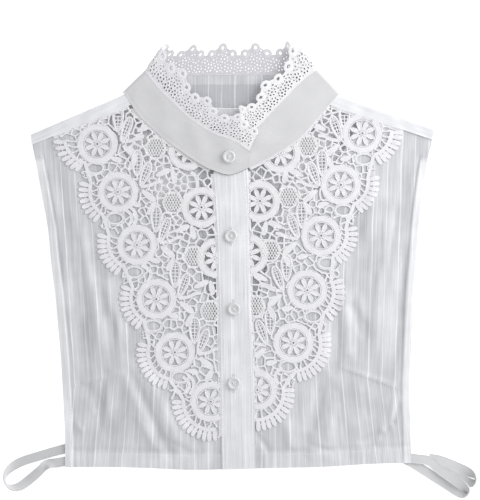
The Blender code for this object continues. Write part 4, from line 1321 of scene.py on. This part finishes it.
def work_bib(bib):
    """Work all motifs of a bib, then the net between them and its three straight edges."""
    side, outline = bib.side, bib.outline
    cords = Cords(lace_place, lambda x, y: inside(x, y, outline))
    ovals = [((a.x + b.x) / 2 + side * 10.5, (a.y + b.y) / 2)
             for a, b in zip(bib.outer, bib.outer[1:])]
    dots = []
    for one in bib.wheels:
        wheel(cords, one.x, one.y)
    for one in bib.outer:
        scallop(cords, one)
    band_line = [spot for one in bib.outer for spot in arc(one, 14, 10.2)]
    cords.add([p[:2] for p in through(band_line, 2.2)], 1.5, "flat", high=0.55)
    for x, y in ovals:
        cords.ring(x, y, 6.9, 0.95, "pad", high=0.5, step=1.8, tall=4.5)
        cords.ring(x, y, 8.3, 0.4, high=0.45, step=1.8, tall=5.9)
    for x, y in bib.notches:
        cords.ring(x, y, 1.2, 0.55, high=0.5, step=1.2)
        cords.ring(x - side * 4.6, y, 1.9, 0.6, high=0.5, step=1.3)
    for x, y in bib.berries:
        berry(cords, x, y, dots)
    taken = [(w.x, w.y, w.x, w.y, 16.9) for w in bib.wheels]
    taken += [(x, y, x, y, 8.6) for x, y in bib.berries]
    taken += [(x - 3, y, x + 3, y, 5) for x, y in ovals]
    for x, y in bib.leaves:
        spray(cords, x, y, side, taken)

    def bare(x, y, room):
        """Say whether a place is net ground, with some room to each motif."""
        if any(to_segment(x, y, ax, ay, bx + 1e-6, by)[0] < reach + room
               for ax, ay, bx, by, reach in taken):
            return False
        return not any(in_scallop(one, x, y) for one in bib.outer)

    holes = [hole for hole in net_openings(bib, ovals) if bare(*hole, 1)]
    seeds = scattered(outline, lambda x, y: bare(x, y, -3)
                      and (inside(x, y, outline) or to_edge(x, y, outline) < 4.5), holes)
    for a, b in net_bars(seeds):
        middle = ((a[0] + b[0]) / 2, (a[1] + b[1]) / 2)
        if bare(*middle, 0):
            half = random.uniform(0.55, 0.95)
            ends = []
            for end in (a, b):
                for _ in range(5):
                    if not bare(*end, -0.5):
                        end = tuple(Vector(end).lerp(Vector(middle), 0.3))
                ends.append(end)
            cords.add([ends[0], middle, ends[1]], [half * 1.35, half, half * 1.35])
    footing = Cords(lace_place, lambda x, y: True)
    for line in bib_edges(side):
        edge = [p[:2] for p in through(line, 2.2)]
        footing.add(shifted(edge, -side * 0.3), 0.75, "pad", high=0.42)
        footing.add(shifted(edge, side * 0.5), 1.3, "flat", high=-0.1)
    for kind in footing.lines:
        cords.lines[kind] += footing.lines[kind]
    return cords, dots


def dots_piece(dots, height):
    """Give each raised dot as a small ball, copied from one."""
    bpy.ops.mesh.primitive_ico_sphere_add(subdivisions=1, radius=1)
    ball = bpy.context.object
    shape = [tuple(v.co) for v in ball.data.vertices]
    faces = [tuple(p.vertices) for p in ball.data.polygons]
    bpy.data.objects.remove(ball, do_unlink=True)
    points, made = [], []
    for x, y in dots:
        first, r = len(points), random.uniform(0.82, 1.02)
        z = lace_place(x, y, height)[2]
        points += [world(x + px * r, y + py * r, z + pz * r * 0.7) for px, py, pz in shape]
        made += [tuple(first + k for k in face) for face in faces]
    return mesh_piece("dots", points, [], made)


lace_bibs = []
for key, bib in bibs.items():
    cords, dots = work_bib(bib)
    piece = cords.build(f"bib_{key}", lace_thread)
    pick(piece, dots_piece([d for d in dots if inside(*d, bib.outline)], 0.6))
    bpy.ops.object.join()
    smooth(piece, 66)
    lace_bibs.append(piece)
    print(piece.name, "triangles", triangles(piece))

# %% [markdown]
# ## The collar's lace edging
# The edging is worked flat, in a plane where one direction runs along the band and the other
# away from it, and then laid on the stations, so it turns over at both folds with the band.

# %% The edging on its stations
EDGING_WALL, RIM_IN, RING_IN, RING_ASIDE, SMALL_HOLE_TRIES = 0.45, 1.9, 2.7, 9.7, 1500
runs = [0]
for before, after in zip(stations, stations[1:]):
    runs.append(runs[-1] + (after[1] - before[1]).length)


def edging_place(run, reach, high):
    """Give the place of the flat edging's (run, reach) once it is folded with the band."""
    k = min(max(bisect_right(runs, run) - 1, 0), len(stations) - 2)
    t = max(0, min(1, (run - runs[k]) / (runs[k + 1] - runs[k])))
    top = stations[k][1].lerp(stations[k + 1][1], t)
    ray = stations[k][2].lerp(stations[k + 1][2], t)
    out = Vector((ray.x, ray.y, 0)).cross(stations[k + 1][1] - stations[k][1])
    out = out.normalized() if out.length > 1e-6 else Vector((0, 0, 1))
    return tuple(top + ray * reach + out * (high - EDGING_WALL))


def edging_reach(run):
    wave = 0.5 + 0.5 * math.cos(2 * math.pi * (run - EDGING_START) / EDGING_REPEAT)
    return EDGING_VALLEY + EDGING_PEAK * wave


def edging_rings(length):
    """Give the middle of each ring point: one at every peak and one at each side of it."""
    first = EDGING_START - EDGING_REPEAT * math.ceil(EDGING_START / EDGING_REPEAT)
    spots = [first + EDGING_REPEAT * repeat + aside
             for repeat in range(20) for aside in (-RING_ASIDE, 0, RING_ASIDE)]
    return [(run, edging_reach(run) - RING_IN) for run in spots if 3.6 < run < length - 3.6]


fold_runs = [run for run, (_, top, _) in zip(runs, stations) if WALL < top.z < COLLAR_MIDDLE]


def edging_holes(length, rings):
    """Give the middle and half sizes of each small hole, in rosettes that stand in shaken rows."""
    found = []

    def open_at(x, y, wide, tall):
        near = min(math.dist((x, y), ring) for ring in rings)
        apart = min((math.dist((x, y), hole[:2]) for hole in found if abs(hole[0] - x) < 4),
                    default=9)
        if abs(x - length / 2) < 58:
            wide, tall = wide * 0.78, tall * 0.78
        if 1.5 < x < length - 1.5 and 2.2 < y < edging_reach(x) - 3 and near > 5.2 \
                and apart > 1.95:
            found.append((x, y, wide, tall))

    for row in range(3):
        for run in steps(1.5 + (4.4 if row % 2 else 0), length, 8.8):
            x = run + random.uniform(-0.6, 0.6)
            y = 6.2 + 7.4 * row + random.uniform(-0.5, 0.5)
            size = random.uniform(0.9, 1.15)
            open_at(x, y, size * 0.8, size)
            for k in range(7):
                turn = 2 * math.pi * (k + 0.5 * row) / 7
                size = random.uniform(0.55, 0.85)
                open_at(x + 3.1 * math.cos(turn), y + 3.1 * math.sin(turn), size, size * 1.25)
    for _ in range(SMALL_HOLE_TRIES):
        size = random.uniform(0.42, 0.62)
        open_at(random.uniform(0, length), random.uniform(2.2, 24), size, size * 1.2)
    return found


def edging_ground(length, rings, holes):
    """Fill the edging's outline with a thin ground that has a hole in each ring."""
    edge = []
    for k in range(int(length / 1.5) + 1):
        run = min(0.3 + k * 1.5, length - 0.3)
        edge.append((run, edging_reach(run) - RIM_IN))
    gaps = [circle(*hole, 8) for hole in holes] + [circle(x, y, 1.35, 1.35, 10) for x, y in rings]
    loops = [[(x, 0.1) for x, _ in edge] + edge[::-1]] + gaps
    flat = [Vector(p) for loop in loops for p in loop]
    for k in range(int(length / 2)):
        for reach in (1.4, 5.6, 9, 12.4, 15.6):
            spot = (2 * k + 1, reach)
            if reach < edging_reach(2 * k) - 3 and all(
                    math.dist(spot, hole[:2]) > 1.7 for hole in holes
                    if abs(hole[0] - 2 * k) < 4):
                flat.append(Vector(spot))
    for run in fold_runs:
        for k in range(1, 18):
            spot = (run, 1.2 * k)
            if spot[1] < edging_reach(run) - 2.6 and all(
                    math.dist(spot, one[:2]) > 1.4 for one in holes + rings):
                flat.append(Vector(spot))
    edges, first = [], 0
    for loop in loops:
        edges += [(first + k, first + (k + 1) % len(loop)) for k in range(len(loop))]
        first += len(loop)
    places, _, faces, *_ = delaunay_2d_cdt(flat, edges, [], 1, 1e-5)
    kept = []
    for face in faces:
        x = sum(places[k].x for k in face) / len(face)
        y = sum(places[k].y for k in face) / len(face)
        near = [gap for gap in gaps if abs(gap[0][0] - x) < 3.5 and abs(gap[0][1] - y) < 3.5]
        if not any(inside(x, y, gap) for gap in near):
            kept.append(tuple(face))
    return places, kept


def work_edging():
    length = runs[-1]
    rings = edging_rings(length)
    holes = edging_holes(length, rings)
    places, faces = edging_ground(length, rings, holes)
    points = [world(*edging_place(p.x, p.y, EDGING_WALL)) for p in places]
    ground = mesh_piece("edging", points, [], faces)
    solid = bmesh.new()
    solid.from_mesh(ground.data)
    bmesh.ops.delete(solid, geom=[v for v in solid.verts if not v.link_faces], context="VERTS")
    bmesh.ops.recalc_face_normals(solid, faces=solid.faces)
    solid.to_mesh(ground.data)
    solid.free()
    wall_on(ground, EDGING_WALL, 0)
    ground.data.materials.append(lace_thread)
    cords = Cords(edging_place, lambda x, y: 0.3 < x < length - 0.3 and 0 < y)
    for x, y in rings:
        bent = min(abs(x - run) for run in fold_runs) < 4.5
        half, kind, high = (0.7, "cord", 0.52) if bent else (1.3, "pad", 0.5)
        cords.ring(x, y, 2.75, half, kind, high, step=0.8 if bent else 1.6)
        cords.ring(x, y, 3.9, 0.42, high=0.5, step=0.8 if bent else 1.6)
    for x, y, wide, tall in holes:
        if tall > 0.8:
            cords.ring(x, y, wide + 0.4, 0.45, high=0.6, step=1.2, tall=tall + 0.4)
    rim = [(run, edging_reach(run) - RIM_IN)
           for run in (0.5 + 1.5 * k for k in range(int(length / 1.5) - 1))]
    between = []
    for spot in rim + [rings[0]]:
        if all(math.dist(spot, ring) > 2.6 for ring in rings):
            between.append(spot)
        else:
            if len(between) > 1:
                cords.add(between, 0.6, high=0.5)
            between = []
    for k in range(int(length / 2.7)):
        run = 1.4 + 2.7 * k
        if all(abs(run - x) > 4.6 for x, _ in rings):
            cords.ring(run, edging_reach(run) - 3.5, 0.7, 0.4, high=0.6, step=0.6)
    for reach, half, high in ((0.9, 0.7, 0.42), (0.15, 0.4, 0.6)):
        cords.add([(x, reach) for x, _ in rim], half, "pad", high=high)
    return ground, cords


def paint_edging_shade(piece, more):
    """Paint shade and light on the lace: greyer where it lies single, low on the table, than where
    it lies on the band, and on the band darker on the left than on the right, which faces the
    light.
    """
    tones = []
    for vertex in piece.data.vertices:
        front = smooth_step(vertex.co.z / MM, 1.2, 2.8)
        tones.append(more - 0.75 * (1 - front) + front * (-0.2 if vertex.co.x < 0 else 0.05))
    piece.data.attributes.new("layers", "FLOAT", "POINT").data.foreach_set("value", tones)


edging, edging_cords = work_edging()
edging_cords = edging_cords.build("edging_cords", lace_thread)
# The ground is painted 0.22 greyer than its cords, as the shade in the lace's openings.
paint_edging_shade(edging, 0)
paint_edging_shade(edging_cords, 0.22)
print("edging triangles", triangles(edging), triangles(edging_cords))

# %% [markdown]
# ## Buttons
# Four milky shirt buttons: a turned disc with a raised rim, sewn on through its dish. Each is a
# profile spun round its own axis.

# %% Turn the buttons
BUTTON_RADIUS, BUTTON_THICK = 5.3, 2
HALF_PROFILE = [
    (0, 0.56), (0.30, 0.55), (0.52, 0.60), (0.62, 0.74), (0.70, 0.93), (0.80, 1), (0.90, 0.96),
    (0.97, 0.82), (1, 0.6), (0.985, 0.35), (0.93, 0.12), (0.84, 0), (0.5, 0), (0, 0)]


def milky():
    finish = Finish("button", Roughness=0.34, Coat_Weight=0.25, Coat_Roughness=0.2, Alpha=0.78,
                    Subsurface_Weight=0.35, Subsurface_Radius=(0.003, 0.003, 0.003),
                    Subsurface_Scale=1, IOR=1.5)
    cloudy = finish.noise(finish.node("TexCoord", {}, {}, 3), 320)
    finish.colour(cloudy, (0.79, 0.80, 0.81), (0.90, 0.905, 0.91))
    return finish.material


def turned_button(name, x, y, z):
    """Spin a half profile round the button's axis."""
    points = [world(x + px * BUTTON_RADIUS, y, z + pz * BUTTON_THICK) for px, pz in HALF_PROFILE]
    piece = mesh_piece(name, points, [(k, k + 1) for k in range(len(points) - 1)], [])
    pick(piece)
    bpy.ops.object.mode_set(mode="EDIT")
    bpy.ops.mesh.select_all(action="SELECT")
    bpy.ops.mesh.spin(steps=48, angle=2 * math.pi, center=world(x, y, 0), axis=(0, 0, 1))
    bpy.ops.mesh.select_all(action="SELECT")
    bpy.ops.mesh.remove_doubles(threshold=1e-6)
    bpy.ops.mesh.normals_make_consistent(inside=False)
    bpy.ops.object.mode_set(mode="OBJECT")
    piece.data.materials.append(button_plastic)
    smooth(piece, 60)
    return piece


def button_height(name):
    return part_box(name)[0].z / MM


button_plastic = milky()
buttons = [turned_button(f"{name}_turned", x, y, button_height(name))
           for name, (x, y) in BUTTONS.items()]
print("buttons at", [round(button_height(name), 2) for name in BUTTONS], "mm")

# %% [markdown]
# ## Thread: button threads, buttonholes and seams
# Stitches are short raised dashes. They are made like the lace, as small cords, but lie on the
# cloth's own surface.

# %% Sewing


def cloth_top(x, y):
    """Give the height of the cloth that a stitch lies on."""
    left, right = along(PLACKET_LEFT, y), along(PLACKET_RIGHT, y)
    if left < x < right and y < 250:
        return placket_surface(x, y)[0]
    return front_surface(x, y)[0]


def sew(line, length=2.2, gap=1, half=0.2, high=0.06):
    """Turn a line into a row of stitches that lie on the cloth."""
    path, found = Line(line), []
    for run in steps(0, path.runs[-1] - length, length + gap):
        ends = [path.at((run + length * s) / path.runs[-1]) for s in (0, 0.5, 1)]
        found.append([(p.x, p.y, cloth_top(p.x, p.y) + high + (0.06 if k == 1 else -0.12))
                      for k, p in enumerate(ends)])
    return found, half


def thread_piece(name, rows):
    """Turn rows of stitches into one mesh."""
    cords = Cords(lambda x, y, z: (x, y, z), lambda x, y: True)
    for found, half in rows:
        cords.lines["cord"] += [([(*spot, half) for spot in line], False) for line in found]
    return cords.build(name, sewing_thread)


def buttonhole(x, y):
    """Satin stitches round a slit that runs up the placket."""
    found = []
    for k in range(33):
        at = y - 8 + 0.5 * k
        for side in (-1, 1):
            ends = [(x + side * 0.16, at), (x + side * 1.05, at + 0.1)]
            found.append([(px, py, cloth_top(px, py) + 0.12) for px, py in ends])
    return found, 0.27


def button_thread(name, x, y, z):
    """Two crossed pairs of threads through the button's holes."""
    rows = [[(x + 1.35 * s - dy * aside * 0.7, y + 1.35 * dy * s + aside * 0.7,
              z + 1.15 + 0.35 * (1 - s * s)) for s in (-1, -0.5, 0, 0.5, 1)]
            for dy in (1, -1) for aside in (-0.28, 0.28)]
    return thread_piece(name, [(rows, 0.3)])


front_threads = []
for key, side, edge, dart, (low_y, high_y), (first_x, last_x) in (
        ("left", 1, left_side, DARTS[0], (14, 264), (-136, -15)),
        ("right", -1, right_side, DARTS[1], (16, 262), (20, 141))):
    front_threads.append(thread_piece(f"front_{key}_stitches", [
        sew([(x + side * (SIDE_TURN - 1), y) for x, y in edge if low_y < y < high_y]),
        sew([(x, y + HEM_TURN - 1) for x, y in hem if first_x < x < last_x]),
        sew([(dart.x0, dart.y0 - 0.8), (dart.x1, dart.y1 - 0.8)], 1.8, 0.8, 0.16)]))
placket_thread = thread_piece("placket_stitches", [
    sew([(along(edge, y) + inward, y) for y in range(2, 248, 6)])
    for edge, inward in ((PLACKET_LEFT, 2), (PLACKET_RIGHT, -2))]
    + [buttonhole(*BUTTONS[name]) for name in ("button_1", "button_2", "button_3")])
button_threads = [button_thread(f"{name}_thread", x, y, button_height(name))
                  for name, (x, y) in BUTTONS.items()]
print("stitches", [len(p.data.polygons) for p in front_threads + [placket_thread]],
      "button threads", len(button_threads))

# %% [markdown]
# ## Elastic loops
# A flat braided elastic leaves each front hem, turns over on itself and comes back to the back
# hem, the left one with a slanting crease on the way. It's a strip with lengthwise ribs and a
# raised edge at both sides, painted paler as a highlight.

# %% Elastic loops
Place = namedtuple("Place", "x y z across tilt")
STRAP_LEFT = [Place(*row) for row in (
    (-139.5, 16.8, 1.8, 105, 0), (-147, 15, 1.6, 105, 0), (-155.7, 12.6, 1.2, 105, 7),
    (-169.2, 8.6, 1.3, 108, 10), (-178.4, 5.7, 1.3, 112, 10), (-186, 1.9, 1.6, 122, 20),
    (-191.5, -3, 3.7, 132, 55), (-194, -9, 4.4, 140, 86), (-192.2, -14.3, 4.3, 132, 106),
    (-187.3, -16.8, 3.9, 124, 127), (-181.4, -15.8, 3, 125, 149), (-175.1, -11.6, 1.3, 131, 170),
    (-167.6, -5.2, 1.8, 134, 192), (-163.6, -1.6, 2.8, 132, 208), (-160.6, 1.7, 3.4, 128, 206),
    (-158.6, 3.2, 3.4, 116, 152), (-155.8, 3.8, 3.2, 104, 160), (-152.4, 3.9, 2.9, 98, 188),
    (-148.8, 4.4, 2.9, 95, 180), (-143.5, 5.4, 2.9, 90, 180), (-137, 6.4, 2.6, 90, 180))]
STRAP_RIGHT = [Place(*row) for row in (
    (142, 9, 3, 92, 0), (148.5, 8.3, 3.1, 92, 0), (154.9, 7.3, 3.1, 86, 0),
    (162.2, 6.4, 2.7, 76, 0), (167.4, 2.8, 2.4, 62, 0), (172.3, -1.6, 2.6, 55, 0),
    (181.8, -8, 4, 55, 0), (189.2, -13.2, 5.2, 50, 12), (194.3, -17.2, 5.3, 45, 40),
    (196.7, -20.2, 4.7, 44, 82), (194.8, -22.8, 4.1, 50, 122), (190.6, -22, 2.5, 57, 155),
    (185.2, -18.9, 0.9, 60, 176), (176.7, -13.5, 0.6, 60, 180), (164.1, -5.5, 0.6, 60, 180),
    (154, 1, 1.3, 58, 180), (148.1, 4.6, 1.8, 58, 180), (142.6, 7.8, 1.8, 58, 180))]
STRAP_LOBE = [Place(*row) for row in (
    (163.4, 7.7, 0.6, 76, 0), (168.5, 7.2, 0.6, 70, 0), (174.2, 5.8, 0.6, 64, 0),
    (183.7, 2.1, 0.6, 62, 0), (191.5, -1.2, 1.1, 60, 6), (198.3, -4.4, 2.8, 56, 30),
    (202.4, -8.2, 4.3, 50, 80), (203, -11.6, 4.3, 55, 108), (200.6, -13.6, 3, 60, 145),
    (196.8, -12.5, 1.2, 62, 170), (191, -9.3, 0.6, 60, 180), (183.3, -5.3, 0.6, 60, 180),
    (174.6, -0.5, 0.6, 60, 180))]
ELASTIC_WIDTH = 8


def strap(name, rows):
    """Make one elastic from its places, with no sharp change of direction or tilt."""
    spots = through(rows, 1.5)
    for _ in range(3):
        spots[1:-1] = [tuple((a + 2 * b + c) / 4 for a, b, c in zip(*three))
                       for three in zip(spots, spots[1:], spots[2:])]

    def place(u, t):
        x, y, z, across, tilt = spots[round(u * (len(spots) - 1))]
        across, tilt = math.radians(across), math.radians(tilt)
        width = Vector((math.cos(across) * math.cos(tilt), math.sin(across) * math.cos(tilt),
                        math.sin(tilt)))
        spot = Vector((x, y, z)) + width * ELASTIC_WIDTH * (t - 0.5)
        return spot.x, spot.y, max(spot.z, 0.45)

    length = sum(math.dist(a[:3], b[:3]) for a, b in zip(spots, spots[1:]))
    print(name, round(length), "mm long")
    return bent_strip(name, len(spots) - 1, 12, place, 0.85, elastic,
                      grain_per_column=length / 10, wide=0.8)


straps = [strap("elastic_left_braid", STRAP_LEFT), strap("elastic_right_braid", STRAP_RIGHT),
          strap("elastic_lobe_braid", STRAP_LOBE)]

# %% [markdown]
# ## What each piece stands for
# Every piece rides on the one body of the garment, and the solid that a piece stands for is
# hidden. The flat sizes of the main sheets are worked out below.

# %% Pieces and their solids
for outline_piece in SECTIONS.values():
    bpy.data.objects.remove(outline_piece, do_unlink=True)
standing = [
    (back, "striped_cotton", ["back_panel"]), (front_left, "striped_cotton", ["front_left"]),
    (front_right, "striped_cotton", ["front_right"]), (stand, "striped_cotton", ["front_right"]),
    (placket, "striped_cotton", ["placket"]),
    (strips[0], "striped_cotton", ["shoulder_strip_left"]),
    (strips[1], "striped_cotton", ["shoulder_strip_right"]),
    (band, "plain_cotton", ["collar_band"]), (lining, "striped_cotton", []),
    (edging, "lace", ["collar_lace"]), (edging_cords, "lace", []),
    (lace_bibs[0], "lace", ["lace_bib_left"]), (lace_bibs[1], "lace", ["lace_bib_right"]),
    (straps[0], "elastic", ["elastic_left"]), (straps[1], "elastic", ["elastic_right"]),
    (straps[2], "elastic", ["elastic_right_lobe"])]
standing += [(piece, "striped_cotton", []) for piece in front_threads + [placket_thread]]
standing += [(piece, "button", [name]) for piece, name in zip(buttons, BUTTONS)]
standing += [(piece, "striped_cotton", []) for piece in button_threads]
for piece, slot, nodes in standing:
    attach(piece, "root")
    if nodes:
        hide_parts(*nodes)
print("pieces", len(standing))

# %% Flat sizes of the cloth
back_area = area_of(left_side + back_top + right_side[::-1] + hem[::-1])
left_area = area_of(left_side + [left_tip] + left_window[::-1] + hem[:1])
right_area = area_of(right_side + [right_tip] + right_window[::-1] + [(148, 4.2)])
seam_line.runs[-1] * MM
edging_area = sum(edging_reach(run) for run in range(int(runs[-1]))) * MM * MM * 0.9
area_of(bibs["left"].outline)
area_of(bibs["right"].outline)
print("areas", round(back_area, 4), round(left_area, 4), round(right_area, 4))

# %% [markdown]
# ## Floor, light and camera
# The garment lies on a white table and is photographed straight from above, with one large soft
# light at the upper right and a pale room around.

# %% Floor
table = Finish("table", Roughness=0.9)
for socket, value in (("Base Color", (0.75, 0.75, 0.75, 1)), ("Emission Strength", 0.62),
                      ("Emission Color", (1, 1, 1, 1))):
    table.shader.inputs[socket].default_value = value
bpy.ops.mesh.primitive_plane_add(size=6, location=(0, 0, -0.0004))
floor = bpy.context.object
floor.name = "floor"
floor.data.materials.append(table.material)
print("floor", tuple(floor.dimensions))

# %% Light
room = bpy.data.worlds.new("room")
bpy.context.scene.world = room
room.use_nodes = True
room.node_tree.nodes["Background"].inputs["Color"].default_value = (0.974, 0.98, 1, 1)
room.node_tree.nodes["Background"].inputs["Strength"].default_value = 0.66
lamp = bpy.data.lights.new("window_light", "AREA")
lamp.shape, lamp.size, lamp.energy = "SQUARE", 0.95, 8.5
window = add_piece("window_light", lamp)
window.location = (0.80, 0.34, 0.42)
window.rotation_euler = (-window.location).to_track_quat("-Z", "Y").to_euler()
print("one window light and a pale room")

# %% Camera
PHOTO_MIDDLE, PHOTO_PIXELS, MM_PER_PIXEL = (4.2, 183.5), 500, 0.8416
middle = world(*PHOTO_MIDDLE, 0)
tall = PHOTO_PIXELS * MM_PER_PIXEL * MM
lens = bpy.data.cameras.new("above")
lens.lens, lens.sensor_width, lens.sensor_fit = 100, 36, "AUTO"
camera = add_piece("above", lens)
camera.location = (middle.x, middle.y, 0.004 + tall * lens.lens / lens.sensor_width)
bpy.context.scene.camera = camera
bpy.context.scene.view_settings.view_transform = "Standard"
print("camera", [round(value, 3) for value in camera.location], "m")
